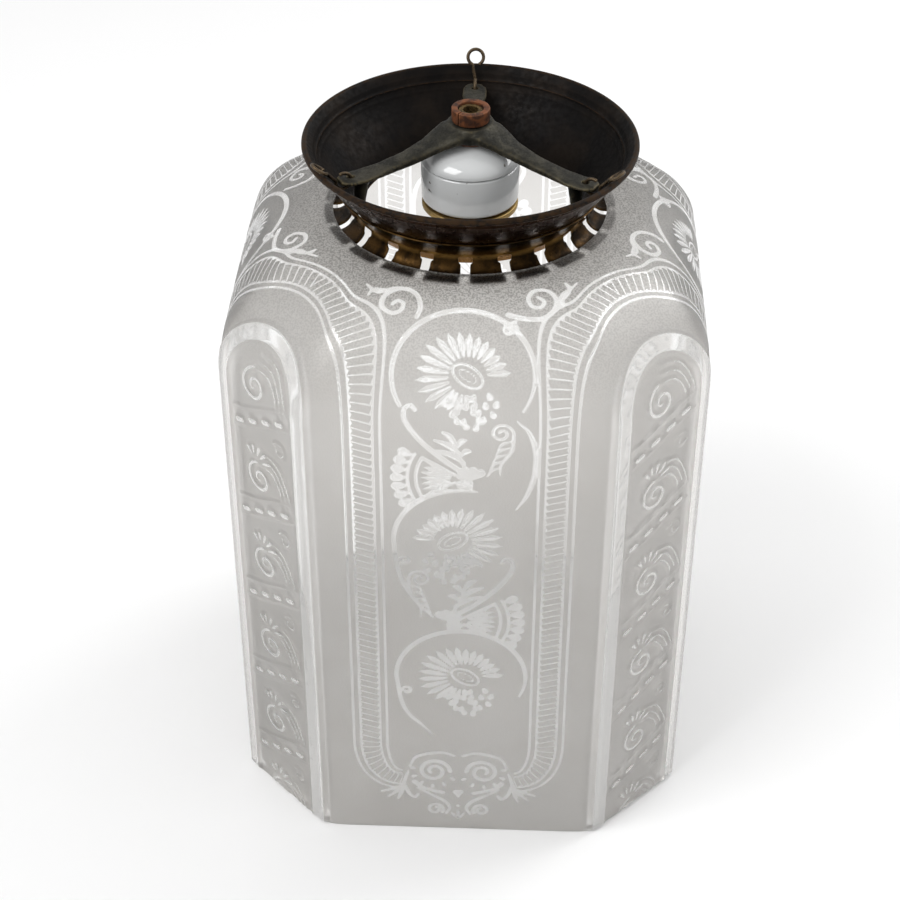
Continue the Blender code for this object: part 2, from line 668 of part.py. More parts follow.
def make_shell(finish):
    """The lamp's screw shell: a thin tube with rolled threads and an inward flange at its top."""
    flange_r = SHELL_R - 6.4 * MM
    steps = SHELL_TURNS * 2
    threads = []
    for k in range(steps + 1):
        z = SHELL_BOTTOM_Z + (SHELL_LENGTH - 1.5 * MM) * k / steps
        threads.append((SHELL_R - SHELL_THREAD * (k % 2), z))
    inside = [(r - SHELL_WALL, z) for r, z in threads]
    top = [(SHELL_R - SHELL_THREAD, SHELL_TOP_Z), (flange_r, SHELL_TOP_Z),
           (flange_r, SHELL_TOP_Z - SHELL_WALL),
           (SHELL_R - SHELL_THREAD - SHELL_WALL, SHELL_TOP_Z - SHELL_WALL)]
    shell = turned("screw_shell", threads + top + inside[::-1], finish, segments=28)
    for sign in (-1, 1):
        hole = rod_cutter(f"shell_hole_{sign}", TERMINAL_SCREW_R + FIT, SHELL_TOP_Z - 2 * MM,
                          SHELL_TOP_Z + MM,
                          Matrix.Translation((0, sign * CORE_SCREW_OFFSET, 0)), segments=12)
        combine(shell, hole, 'DIFFERENCE')
    return shell


def make_core(finish):
    core = turned("insulator_core", [(0, CORE_BOTTOM_Z), (CORE_R, CORE_BOTTOM_Z),
                                     (CORE_R, CORE_TOP_Z), (0, CORE_TOP_Z)], finish)
    for sign in (-1, 1):
        half = CONTACT_THICKNESS / 2 + FIT
        slot = box_cutter(f"core_slot_{sign}",
                          (sign * CONTACT_OFFSET - half, -CONTACT_WIDTH_HALF - FIT, CORE_BOTTOM_Z - MM),
                          (sign * CONTACT_OFFSET + half, CONTACT_WIDTH_HALF + FIT, CORE_TOP_Z + MM))
        combine(core, slot, 'DIFFERENCE')
        for axis, low, high in (((sign * TERMINAL_OFFSET, 0, 0), -3.2 * MM, MM),
                                ((0, sign * CORE_SCREW_OFFSET, 0), -CORE_THICKNESS - MM, -1.2 * MM)):
            hole = rod_cutter(f"core_hole_{sign}_{axis[0] == 0}", TERMINAL_SCREW_R + FIT,
                              CORE_TOP_Z + low, CORE_TOP_Z + high, Matrix.Translation(axis), 12)
            combine(core, hole, 'DIFFERENCE')
    return core


def strip(name, path, half_width, thickness, finish):
    """A flat strip bent along path, given as (x, z) points; its width runs along Y."""
    sections = []
    for i, (x, z) in enumerate(path):
        before, after = path[max(i - 1, 0)], path[min(i + 1, len(path) - 1)]
        along = Vector((after[0] - before[0], after[1] - before[1])).normalized()
        normal = Vector((-along.y, along.x)) * thickness / 2
        turn_back = 1.0
        if 0 < i < len(path) - 1:
            first = Vector((x - before[0], z - before[1])).normalized()
            turn_back = 1 / max(0.5, first.dot(along))
        normal *= turn_back
        sections.append([(x + normal.x, -half_width, z + normal.y), (x + normal.x, half_width, z + normal.y),
                         (x - normal.x, half_width, z - normal.y), (x - normal.x, -half_width, z - normal.y)])
    return lofted(name, sections, finish)


def make_contacts(finish):
    tail_z = CORE_TOP_Z + FIT + CONTACT_THICKNESS / 2
    tail = TERMINAL_OFFSET - TERMINAL_SCREW_R - FIT
    flange_z = SHELL_TOP_Z - SHELL_WALL - FIT - CONTACT_THICKNESS / 2
    spring = SHELL_TOP_Z - 3.2 * MM
    centre = [(-3.2 * MM, spring + 0.8 * MM), (0, spring), (2.4 * MM, spring + 1.0 * MM),
              (CONTACT_OFFSET, SHELL_TOP_Z - 0.6 * MM), (CONTACT_OFFSET, tail_z), (tail, tail_z)]
    side = [(-SHELL_R + 4.2 * MM, flange_z), (-CONTACT_OFFSET, flange_z), (-CONTACT_OFFSET, tail_z),
            (-tail, tail_z)]
    strip("centre_contact", centre, CONTACT_WIDTH_HALF, CONTACT_THICKNESS, finish)
    strip("side_contact", side, CONTACT_WIDTH_HALF, CONTACT_THICKNESS, finish)


def make_screw(name, place, finish, shank, upside_down=False):
    """A cheese-head screw with a slot; its seat is at the local origin and its shank points down."""
    screw = turned(name, [(0, -shank), (TERMINAL_SCREW_R, -shank), (TERMINAL_SCREW_R, 0),
                          (TERMINAL_HEAD_R, 0), (TERMINAL_HEAD_R, TERMINAL_HEAD_HEIGHT),
                          (0, TERMINAL_HEAD_HEIGHT)], finish, segments=16)
    slot = box_cutter(name + "_slot", (-TERMINAL_HEAD_R - MM, -0.3 * MM, TERMINAL_HEAD_HEIGHT - 0.6 * MM),
                      (TERMINAL_HEAD_R + MM, 0.3 * MM, TERMINAL_HEAD_HEIGHT + MM))
    turned_to = Matrix.Rotation(math.pi, 4, 'X') if upside_down else Matrix.Identity(4)
    for made in (screw, slot):
        move(made, Matrix.Translation(place) @ turned_to)
    combine(screw, slot, 'DIFFERENCE')


def make_lampholder(porcelain, brass, bronze, steel):
    make_cap(porcelain)
    make_skirt(porcelain)
    make_core(porcelain)
    make_shell(brass)
    make_shade_ring(brass)
    make_contacts(bronze)
    for i, sign in enumerate((1, -1)):
        make_screw(f"terminal_screw_{i + 1}",
                   (sign * TERMINAL_OFFSET, 0, CORE_TOP_Z + 2 * FIT + CONTACT_THICKNESS), brass,
                   TERMINAL_SHANK)
        make_screw(f"core_screw_{i + 1}",
                   (0, sign * CORE_SCREW_OFFSET, SHELL_TOP_Z - SHELL_WALL - FIT), steel,
                   CORE_SCREW_SHANK, upside_down=True)


def build():
    for old in list(bpy.data.objects):
        bpy.data.objects.remove(old)
    glass = material("etched_glass", (0.75, 0.73, 0.71), 0.45, alpha=0.6)
    brass = material("patinated_brass", (0.16, 0.11, 0.06), 0.45, metallic=1.0)
    ring_brass = material("stained_brass", (0.36, 0.24, 0.10), 0.4, metallic=1.0)
    bronze_cast = material("cast_bronze", (0.07, 0.065, 0.05), 0.6, metallic=0.8)
    copper = material("rusty_copper", (0.34, 0.15, 0.08), 0.55, metallic=0.8)
    wire = material("brown_wire", (0.06, 0.045, 0.035), 0.55, metallic=0.8)
    porcelain = material("porcelain", (0.72, 0.73, 0.72), 0.15)
    bright_brass = material("brass", (0.62, 0.47, 0.22), 0.35, metallic=1.0)
    contact_bronze = material("contact_bronze", (0.6, 0.4, 0.24), 0.35, metallic=1.0)
    steel = material("steel", (0.5, 0.5, 0.5), 0.4, metallic=1.0)
    fibre = material("fibre", (0.22, 0.12, 0.08), 0.8)

    rivet_places = [rivet_place(angle) for angle in ARM_ANGLES]
    make_shade(glass)
    make_dish(brass, rivet_places)
    make_fitter(ring_brass, rivet_places)
    make_spider(bronze_cast, rivet_places)
    leans = [REAR_LINK_LEAN] + [rest_lean()] * (ARM_COUNT - 1)
    for i, angle in enumerate(ARM_ANGLES):
        make_rivet(i + 1, rivet_places[i], brass)
        make_link(i + 1, angle, leans[i], wire)
    make_collar(copper)
    tube("threaded_nipple", NIPPLE_BORE_R, NIPPLE_R, NIPPLE_BOTTOM_Z, NIPPLE_TOP_Z, bright_brass)
    tube("hub_washer", BORE_R, WASHER_R, WASHER_TOP_Z - WASHER_THICKNESS, WASHER_TOP_Z, fibre)
    make_nut(bright_brass)
    make_bush(fibre)
    make_lampholder(porcelain, bright_brass, contact_bronze, steel)


build()
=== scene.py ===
# Antique hall-lantern pendant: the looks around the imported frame. Metres, +Z up, front facing -Y.
# The glass carries its ornament as a field of distances to the nearest clear line, drawn with a few
# pens on the unrolled glass, and the metal and porcelain pieces are finer copies of the frame's.

import math

import bmesh
import bpy
import numpy as np
from mathutils import Matrix, Vector, noise


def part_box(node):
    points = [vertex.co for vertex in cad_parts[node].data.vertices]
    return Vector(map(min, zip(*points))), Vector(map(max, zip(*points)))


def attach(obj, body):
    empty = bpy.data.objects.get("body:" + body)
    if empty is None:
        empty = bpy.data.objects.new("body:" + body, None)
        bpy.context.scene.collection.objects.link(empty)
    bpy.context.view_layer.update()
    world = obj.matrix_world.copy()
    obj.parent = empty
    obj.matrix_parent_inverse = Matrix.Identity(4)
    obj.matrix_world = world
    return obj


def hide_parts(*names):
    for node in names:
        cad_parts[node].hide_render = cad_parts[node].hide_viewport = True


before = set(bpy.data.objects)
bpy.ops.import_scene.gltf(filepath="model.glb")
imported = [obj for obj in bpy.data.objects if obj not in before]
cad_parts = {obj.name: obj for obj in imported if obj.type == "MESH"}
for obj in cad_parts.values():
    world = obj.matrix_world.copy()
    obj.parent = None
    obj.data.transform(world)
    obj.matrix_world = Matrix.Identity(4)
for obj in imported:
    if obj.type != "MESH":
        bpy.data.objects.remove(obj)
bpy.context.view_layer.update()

BODY = "lantern"                # the body that every piece but the links rides on
MM = 0.001
TURN = 2 * math.pi
FIT = 0.3 * MM                  # the gap between pieces that fit together

# Glass, from the frame's box and the mould's own sizes
GLASS_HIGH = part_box("glass_shade")[1]
SKIN = 0.15 * MM                # the ground surface lies this far inside, so that lines can stand proud
SHADE_HALF = GLASS_HIGH.x - SKIN
SHADE_HEIGHT = GLASS_HIGH.z
CHAMFER_DISTANCE = 125.5 * MM - SKIN
CORNER_SHARPNESS = 60
SHOULDER_RISE = 51.5 * MM
SHOULDER_Z = SHADE_HEIGHT - SHOULDER_RISE
SHOULDER_POWER = 2.15
HOLE_R = 62.9 * MM
GLASS_WALL = 3.5 * MM
EDGE_ROUND = 0.5 * MM
INNER_ROWS = 60
LINE_PROUD = 0.11 * MM          # how far a clear line stands out from the ground glass
LINE_SLOPE = 0.45               # millimetres over which it rises
PAD_HALF = 32.0                 # corner panels, millimetres on the unrolled glass
PAD_RISE = 1.7
PAD_BORDER = 10.0
PAD_FIELD_DROP = 0.9
PAD_ARCH_LIFT = 5.0
PAD_EDGE = 2.2
PAD_FOOT = 2.5                  # height over which a panel rises from the rim
PANEL_PITCH = 51.0              # the relief in the panels, millimetres
PANEL_RELIEF = 0.65
PANEL_MARGIN = 1.5
RELIEF_START, RELIEF_SLOPE = 0.35, 2.2
RELIEF_CLEAR = 0.95             # how much narrower a stroke's clear line is than its relief
STRIP_SHIFT, STRIP_INSET = 1.2, 1.4     # the clear strip on a panel's border
FACE_HALF = math.sqrt(2) * CHAMFER_DISTANCE - SHADE_HALF
CORNER_HALF = (SHADE_HALF - FACE_HALF) / math.sqrt(2)
CELL = 0.9 * MM
ROPE_PITCH = 3.7                # the rope border, millimetres
ROPE_LINE_HALF = 0.4
ROPE_SCALLOP = 0.42
STRAND_HALF = 0.3
STRAND_SLANT = 0.8              # in strands
SHOULDER_T = SHOULDER_Z / MM    # unrolled height where the shoulder starts

# Gallery, from the hole and the frame's boxes
DISH_OUT, DISH_RISE = 13.1 * MM, 33.0 * MM      # from the hole's edge to the dish's rim
DISH_WALL = 0.9 * MM
DISH_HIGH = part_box("gallery_dish")[1]
RIM_R = DISH_HIGH.x
RIM_Z = DISH_HIGH.z
LIP_R = HOLE_R - 13.4 * MM + DISH_WALL / 2
LIP_Z = SHADE_HEIGHT - 2.0 * MM
STEP_R = HOLE_R + DISH_OUT - 4.5 * MM
STEP_Z = SHADE_HEIGHT + DISH_RISE - 3.0 * MM
FLARE_SWING = 0.05              # how far the flare bows from a straight cone
CURL_OUT = 1.45 * MM
FITTER_WALL = 0.8 * MM
FITTER_OFFSET = DISH_WALL / 2 + FIT + FITTER_WALL / 2
BAND_LOW_SHARE, BAND_TOP_SHARE = 0.23, 0.50     # the fitter's band, in shares of the flare
TAB_ROOT_Z = SHADE_HEIGHT + 3.6 * MM
TAB_Z = SHADE_HEIGHT - GLASS_WALL - FIT - FITTER_WALL / 2
TAB_REACH = 3.9 * MM
TAB_END_ROUND = 1.1 * MM
TAB_COUNT = 20
SLOT_WIDTH, SLOT_ROOT_WIDTH = 4.2 * MM, 6.5 * MM

# Spider and links
HUB_TOP_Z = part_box("spider")[1].z
HUB_BOTTOM_Z = HUB_TOP_Z - 7.8 * MM
HUB_R = 11.0 * MM
BORE_R = 5.8 * MM
LINK_AXIS_Z = SHADE_HEIGHT + DISH_RISE - 6.3 * MM
LOOP_R = 3.7 * MM
WIRE_R = 0.85 * MM
LOOP_SPACING = 14.0 * MM
LOOP_OPENING = math.radians(25)
LINK_AXIS_R = HOLE_R + DISH_OUT - 9.1 * MM - LOOP_R
EYE_R = LINK_AXIS_R - LOOP_R
EYE_THICKNESS = 2.6 * MM
FOOT_SHARE = 0.37               # where a foot stands on the dish's flare
ARM_TIP_R = EYE_R + 2.15 * MM + LOOP_R
ARM_ANGLES = [math.radians(90 + 120 * i) for i in range(3)]
LINK_LEANS = [math.radians(degrees) for degrees in (62, 37, 37)]       # at rest

COLLAR_LOW, COLLAR_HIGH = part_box("collar")
COLLAR_SPLIT_ANGLE = math.radians(232)


# Node materials

class Nodes:
    """A short hand for building one node material."""

    def __init__(self, name):
        self.material = bpy.data.materials.new(name)
        self.material.use_nodes = True
        self.tree = self.material.node_tree
        self.shader = self.tree.nodes["Principled BSDF"]

    def feed(self, socket, value):
        """A number or a colour is set on the socket itself, and anything else is another node's output."""
        if isinstance(value, (int, float)):
            socket.default_value = value
        elif isinstance(value, tuple):
            socket.default_value = (*value, 1.0)
        else:
            self.tree.links.new(value, socket)

    def surface(self, socket, value):
        self.feed(self.shader.inputs[socket], value)

    def source(self, socket):
        """The output that already feeds one of the shader's sockets."""
        return self.shader.inputs[socket].links[0].from_socket

    def add(self, kind, sockets=None, **settings):
        made = self.tree.nodes.new(kind)
        for key, value in settings.items():
            setattr(made, key, value)
        for key, value in (sockets or {}).items():
            self.feed(made.inputs[key], value)
        return made

    def attribute(self, name, output="Fac"):
        return self.add("ShaderNodeAttribute", attribute_name=name).outputs[output]

    def place(self):
        return self.add("ShaderNodeTexCoord").outputs["Object"]

    def height(self):
        return self.add("ShaderNodeSeparateXYZ", {0: self.place()}).outputs["Z"]

    def edges(self):
        return self.add("ShaderNodeNewGeometry").outputs["Pointiness"]

    def noise(self, scale, detail=4.0, distortion=0.0):
        sockets = {"Vector": self.place(), "Scale": scale, "Detail": detail, "Roughness": 0.6,
                   "Distortion": distortion}
        return self.add("ShaderNodeTexNoise", sockets).outputs["Fac"]

    def span(self, value, low, high, to_low=0.0, to_high=1.0):
        sockets = {"Value": value, "From Min": low, "From Max": high, "To Min": to_low, "To Max": to_high}
        made = self.add("ShaderNodeMapRange", sockets, clamp=True, interpolation_type='SMOOTHSTEP')
        return made.outputs["Result"]

    def mix(self, share, first, second):
        sockets = {"Factor": share, "A": first, "B": second}
        return self.add("ShaderNodeMix", sockets, data_type='RGBA').outputs["Result"]

    def math(self, operation, *values):
        return self.add("ShaderNodeMath", dict(enumerate(values)), operation=operation).outputs[0]

    def times(self, first, second):
        return self.math('MULTIPLY', first, second)

    def bump(self, height, strength, distance):
        made = self.add("ShaderNodeBump", {"Height": height, "Strength": strength, "Distance": distance})
        self.surface("Normal", made.outputs["Normal"])


def rope_lines(made):
    """The rope border: two scalloped lines with slanting strands between, drawn from its own run."""
    outer, inner, run = made.add("ShaderNodeSeparateXYZ", {0: made.attribute("rope", "Vector")}).outputs
    wave = made.math('ABSOLUTE', made.math('SINE', made.times(run, math.pi / ROPE_PITCH)))
    scallop = made.times(made.math('SUBTRACT', 1.0, wave), ROPE_SCALLOP)
    wide = made.math('ADD', scallop, ROPE_LINE_HALF)
    outer_line = made.math('SUBTRACT', made.math('ABSOLUTE', made.math('SUBTRACT', outer, scallop)), wide)
    inner_line = made.math('SUBTRACT', made.math('ABSOLUTE', made.math('ADD', inner, scallop)), wide)
    share = made.math('DIVIDE', outer, made.math('MAXIMUM', made.math('SUBTRACT', outer, inner), 1.0))
    slanted = made.math('ADD', made.math('DIVIDE', run, ROPE_PITCH), made.times(share, STRAND_SLANT))
    strand = made.math('ABSOLUTE', made.math('SUBTRACT', made.math('FRACT', slanted), 0.5))
    strand = made.math('SUBTRACT', made.times(strand, ROPE_PITCH), STRAND_HALF)
    outside = made.math('MAXIMUM', made.math('SUBTRACT', 0.5, outer), made.math('ADD', inner, 0.5))
    strand = made.math('MAXIMUM', strand, outside)
    return made.math('MINIMUM', strand, made.math('MINIMUM', outer_line, inner_line))


def glass_material():
    """Ground glass with clear lines, darker over the shoulder as painted shade, with dark grainy specks of
    painted shadow there that thicken towards the hole.
    """
    made = Nodes("etched_glass")
    lines = made.math('MINIMUM', made.attribute("line_distance"), rope_lines(made))
    clear = made.span(lines, -0.15, 0.22, 1.0, 0.0)
    ground = made.math('SUBTRACT', 1.0, clear)
    grain = made.noise(1300, detail=2.0)
    # painted shade: the shoulder is darker than the upright walls because of how light falls on it
    painted_shoulder_shade = made.span(made.height(), SHOULDER_Z + 4 * MM, SHADE_HEIGHT)
    cloud = made.span(made.noise(22, detail=3.0), 0.35, 0.7)
    colour = made.mix(cloud, (0.655, 0.63, 0.60), (0.70, 0.68, 0.655))
    colour = made.mix(made.times(painted_shoulder_shade, 0.55), colour, (0.46, 0.44, 0.415))
    # painted shadow: grainy dark specks over the shoulder, thickening towards the hole, where they stand for
    # the fitter's tabs seen through the glass
    painted_hole_shadow = made.span(made.height(), SHADE_HEIGHT - 9 * MM, SHADE_HEIGHT, 0.45, 0.9)
    specks = made.times(made.times(painted_shoulder_shade, painted_hole_shadow), made.span(grain, 0.44, 0.58))
    colour = made.mix(specks, colour, (0.13, 0.12, 0.11))
    made.surface("Base Color", made.mix(clear, colour, (0.985, 0.985, 0.98)))
    made.surface("Roughness", made.math('MAXIMUM', made.times(ground, 0.5), 0.06))
    made.bump(made.times(grain, ground), 0.3, 0.3 * MM)
    made.surface("Transmission Weight", 1.0)
    made.surface("IOR", 1.5)
    return made.material


def worn_metal(name, dark, warm, bright, roughness=(0.35, 0.65), scale=60, metallic=0.85, relief=0.15,
               edge_wear=0.55):
    """Patinated metal: dark and warm patches, and brighter metal where edges are rubbed."""
    made = Nodes(name)
    patches = made.span(made.noise(scale, distortion=0.4), 0.38, 0.66)
    fine = made.noise(scale * 9, detail=6.0)
    rubbed = made.times(made.span(made.edges(), 0.505, 0.56), edge_wear)
    rubbed = made.times(rubbed, made.span(fine, 0.35, 0.6))
    made.surface("Base Color", made.mix(rubbed, made.mix(patches, dark, warm), bright))
    made.surface("Roughness", made.span(fine, 0.3, 0.7, *roughness))
    made.surface("Metallic", metallic)
    made.bump(fine, relief, 0.25 * MM)
    return made


def dish_material():
    """Near-black lacquer inside; outside polished brown with a painted golden sheen that grows towards the
    fitter.
    """
    made = worn_metal("gallery_brass", (0.0032, 0.0026, 0.0024), (0.010, 0.007, 0.005), (0.14, 0.070, 0.025),
                      roughness=(0.42, 0.7), scale=45, metallic=0.5, relief=0.1)
    outside = made.attribute("outside")
    # painted sheen: the outside brightens to gold towards the fitter, a reflection painted into the colour
    painted_low_sheen = made.span(made.height(), TAB_ROOT_Z, TAB_ROOT_Z + 16 * MM, 1.0, 0.0)
    outside_colour = made.mix(painted_low_sheen, (0.028, 0.012, 0.005), (0.26, 0.13, 0.035))
    made.surface("Base Color", made.mix(outside, made.source("Base Color"), outside_colour))
    polish = made.math('SUBTRACT', 1.0, made.times(outside, 0.45))
    made.surface("Roughness", made.times(made.source("Roughness"), polish))
    made.surface("Metallic", made.math('ADD', made.times(outside, 0.6), 0.35))
    made.surface("Specular IOR Level", 0.12)
    return made.material


def fitter_material():
    """Brown tabs below a painted golden highlight along their bend."""
    made = worn_metal("fitter_brass", (0.010, 0.006, 0.003), (0.055, 0.029, 0.009), (0.26, 0.16, 0.05),
                      roughness=(0.25, 0.5), scale=90, metallic=1.0, relief=0.08, edge_wear=0.15)
    # painted highlight: a golden band along the tabs' bend, where light catches the ridge
    rising = made.span(made.height(), TAB_ROOT_Z - 2.0 * MM, TAB_ROOT_Z + 0.5 * MM)
    falling = made.span(made.height(), TAB_ROOT_Z + 1.5 * MM, TAB_ROOT_Z + 7.0 * MM, 1.0, 0.0)
    fold_highlight = made.times(made.times(rising, falling), 0.75)
    made.surface("Base Color", made.mix(fold_highlight, made.source("Base Color"), (0.34, 0.19, 0.052)))
    return made.material


def porcelain_material():
    """White glaze with faint stains and a few dark specks."""
    made = Nodes("glazed_porcelain")
    specks = made.span(made.noise(260, detail=1.0), 0.72, 0.78)
    stain = made.span(made.noise(35), 0.5, 0.8, 0.0, 0.25)
    colour = made.mix(stain, (0.60, 0.61, 0.61), (0.47, 0.455, 0.43))
    made.surface("Base Color", made.mix(specks, colour, (0.10, 0.08, 0.06)))
    made.surface("Roughness", made.span(made.noise(90), 0.3, 0.7, 0.05, 0.14))
    made.bump(made.noise(60, detail=1.0), 0.05, 0.4 * MM)
    made.surface("Coat Weight", 0.6)
    made.surface("Coat Roughness", 0.04)
    return made.material


# Mesh helpers

def polar(radius, angle, z):
    return Vector((radius * math.cos(angle), radius * math.sin(angle), z))


def in_scene(name, data):
    made = bpy.data.objects.new(name, data)
    bpy.context.scene.collection.objects.link(made)
    return made


def as_mesh(name, mesh_data):
    mesh = bpy.data.meshes.new(name)
    mesh_data.to_mesh(mesh)
    mesh_data.free()
    return mesh


def show(name, mesh_data, finish, replaced, slot, smooth_angle, body=BODY):
    bmesh.ops.recalc_face_normals(mesh_data, faces=mesh_data.faces)
    return show_mesh(name, as_mesh(name, mesh_data), finish, replaced, smooth_angle, body)


def show_mesh(name, mesh, finish, replaced, smooth_angle, body=BODY):
    """Puts a piece on its body in place of one of the frame's nodes."""
    mesh.shade_smooth()
    mesh.set_sharp_from_angle(angle=math.radians(smooth_angle))
    mesh.materials.clear()
    mesh.materials.append(finish)
    made = in_scene(name, mesh)
    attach(made, body)
    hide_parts(replaced)
    return made


def skin_rings(mesh_data, rings, loop=False, caps=False):
    """Joins neighbouring closed rings of points; loop also joins the last ring to the first."""
    rings = [[mesh_data.verts.new(point) for point in ring] for ring in rings]
    count = len(rings[0])
    for low, high in zip(rings, rings[1:] + (rings[:1] if loop else [])):
        for i in range(count):
            j = (i + 1) % count
            mesh_data.faces.new((low[i], low[j], high[j], high[i]))
    if caps:
        mesh_data.faces.new(rings[0])
        mesh_data.faces.new(rings[-1])


def circle(radius, z, sides):
    return [polar(radius, TURN * i / sides, z) for i in range(sides)]


def skinned(name, rings, look, loop=False, caps=False):
    mesh_data = bmesh.new()
    skin_rings(mesh_data, rings, loop, caps)
    return show(name, mesh_data, *look)


def turned(name, outline, segments, look):
    return skinned(name, [circle(radius, z, segments) for radius, z in outline], look, loop=True)


def filleted(points, radius, steps=4):
    """A closed outline with its corners rounded."""
    outline = []
    count = len(points)
    for i, point in enumerate(points):
        here = Vector(point)
        before, after = Vector(points[i - 1]) - here, Vector(points[(i + 1) % count]) - here
        reach = min(radius, before.length * 0.45, after.length * 0.45)
        first, last = here + before.normalized() * reach, here + after.normalized() * reach
        for k in range(steps + 1):
            share = k / steps
            outline.append(tuple(first * (1 - share) ** 2 + here * 2 * share * (1 - share)
                                 + last * share ** 2))
    return outline


def smooth_path(points, steps=6):
    """Points along a smooth curve through the given ones."""
    points = [Vector(p) for p in points]
    ends = [points[0] * 2 - points[1]] + points + [points[-1] * 2 - points[-2]]
    path = []
    for a, b, c, d in zip(ends, ends[1:], ends[2:], ends[3:]):
        for k in range(steps):
            t = k / steps
            path.append(0.5 * (2 * b + (c - a) * t + (2 * a - 5 * b + 4 * c - d) * t * t
                               + (3 * b - a - 3 * c + d) * t ** 3))
    return path + [points[-1]]


# The ornament: pens that draw into a field of distances, in millimetres on the unrolled glass

UNDRAWN = 9.0                   # the distance where no line is near
PEN_REACH = 2.0                 # how far outside a line its distance is still worked out


class Field:
    """Signed distance to the nearest drawn line, negative inside it.

    A sign of -1 mirrors what is drawn. The pens take angles in degrees."""

    def __init__(self, across, along):
        self.across, self.along = across, along
        self.distance = np.full(across.shape, UNDRAWN)
        self.sign = 1

    def merge(self, distance):
        self.distance = np.minimum(self.distance, distance)

    def pen(self, path, widths):
        """A line through path whose half width runs through widths."""
        spread = np.interp(np.linspace(0, 1, len(path)), np.linspace(0, 1, len(widths)), widths)
        for (a, b), (wide_a, wide_b) in zip(zip(path, path[1:]), zip(spread, spread[1:])):
            ax, ay, bx, by = self.sign * a[0], a[1], self.sign * b[0], b[1]
            reach = max(wide_a, wide_b) + PEN_REACH
            near = ((self.across > min(ax, bx) - reach) & (self.across < max(ax, bx) + reach)
                    & (self.along > min(ay, by) - reach) & (self.along < max(ay, by) + reach))
            px, py = self.across[near] - ax, self.along[near] - ay
            dx, dy = bx - ax, by - ay
            share = np.clip((px * dx + py * dy) / max(dx * dx + dy * dy, 1e-9), 0, 1)
            found = np.hypot(px - share * dx, py - share * dy) - (wide_a + (wide_b - wide_a) * share)
            self.distance[near] = np.minimum(self.distance[near], found)

    def curve(self, points, widths):
        self.pen([tuple(p) for p in smooth_path(points)], widths)

    def spiral(self, centre, outer, inner, start, turns, widths):
        steps = int(18 * abs(turns)) + 4
        path = []
        for k in range(steps + 1):
            share = k / steps
            radius = outer + (inner - outer) * share
            angle = math.radians(start) + TURN * turns * share
            path.append((centre[0] + radius * math.cos(angle), centre[1] + radius * math.sin(angle)))
        self.pen(path, widths)

    def petal(self, centre, angle, near, far, half):
        """A pointed leaf along a ray from centre."""
        ray = (math.cos(math.radians(angle)), math.sin(math.radians(angle)))
        path = [(centre[0] + ray[0] * r, centre[1] + ray[1] * r)
                for r in (near, near + (far - near) * 0.35, near + (far - near) * 0.7, far)]
        self.pen(path, (half * 0.35, half * 0.8, half, 0.1))

    def oval(self, centre, long_half, short_half, tilt, half):
        tilt = math.radians(tilt)
        path = []
        for k in range(25):
            angle = TURN * k / 24
            x, y = long_half * math.cos(angle), short_half * math.sin(angle)
            path.append((centre[0] + x * math.cos(tilt) - y * math.sin(tilt),
                         centre[1] + x * math.sin(tilt) + y * math.cos(tilt)))
        self.pen(path, (half, half))


FLOWER_MIDDLES = (105.0, 188.0, 275.0)  # heights on a face; the second flower is turned round
KNOT_RISE = 35.5                # from a flower to the calyx above it
LINE_HALF = 0.6                 # the border's two plain lines
OUTER_POWER, INNER_POWER = 2.05, 2.2    # how square its lines' arches are
BAND_FOOT = 62.0                # where they start to curve in at the bottom
BAND_FOOT_POWER = 2.3
BAND_FOOT_RUN = 26.0            # how far along a line one radian of that curve takes
LEAF_ACROSS = 27.0              # the leaf that ends them
FAR = 90.0                      # a distance far from every rope


def norm_distance(first, first_reach, second, second_reach, power):
    """Distance to a superellipse's outline, and the angle on it."""
    a, b = np.maximum(first, 0) / first_reach, np.maximum(second, 0) / second_reach
    level = np.maximum((a ** power + b ** power) ** (1 / power), 1e-6)
    slope = np.hypot(np.maximum(a, 1e-9) ** (power - 1) / first_reach,
                     np.maximum(b, 1e-9) ** (power - 1) / second_reach) * level ** (1 - power)
    return (level - 1) / np.maximum(slope, 1e-6), np.arctan2(b, a)


def band(field, from_diagonal, face_across, foot, arch, power):
    """How far each place lies outside one line of the border, and how far along the line it is.

    The line runs up the face from the leaf and then over the corner panel."""
    across, along = np.abs(field.across), field.along
    above = along - SHOULDER_T
    corner_reach = (SHADE_HALF / MM - face_across) / math.sqrt(2)
    over, turn = norm_distance(from_diagonal, corner_reach, above, arch - SHOULDER_T, power)
    over = over * (1 + (math.sqrt(2) - 1) * np.cos(turn) ** 2)
    under, low_turn = norm_distance(across - LEAF_ACROSS, face_across - LEAF_ACROSS,
                                    BAND_FOOT - along, BAND_FOOT - foot, BAND_FOOT_POWER)
    offset = np.where(along < BAND_FOOT, -under, np.where(above > 0, over, face_across - across))
    run = np.where(above > 0, SHOULDER_T + turn * 0.5 * (corner_reach + arch - SHOULDER_T), along)
    run = np.where(along < BAND_FOOT, BAND_FOOT - low_turn * BAND_FOOT_RUN, run)
    hidden = (along < BAND_FOOT) & (across < LEAF_ACROSS)
    return np.where(hidden, FAR, offset), run


def draw_border(field, from_diagonal):
    """The plain outer and inner lines; returns the rope's place between them."""
    for place in ((50.8, 28.5, 301.0, OUTER_POWER), (34.6, 41.0, 317.3, INNER_POWER)):
        field.merge(np.abs(band(field, from_diagonal, *place)[0]) - LINE_HALF)
    outer, run = band(field, from_diagonal, 47.6, 31.0, 304.0, OUTER_POWER)
    inner = band(field, from_diagonal, 37.8, 38.5, 314.2, INNER_POWER)[0]
    return np.stack([outer, inner, run], -1)


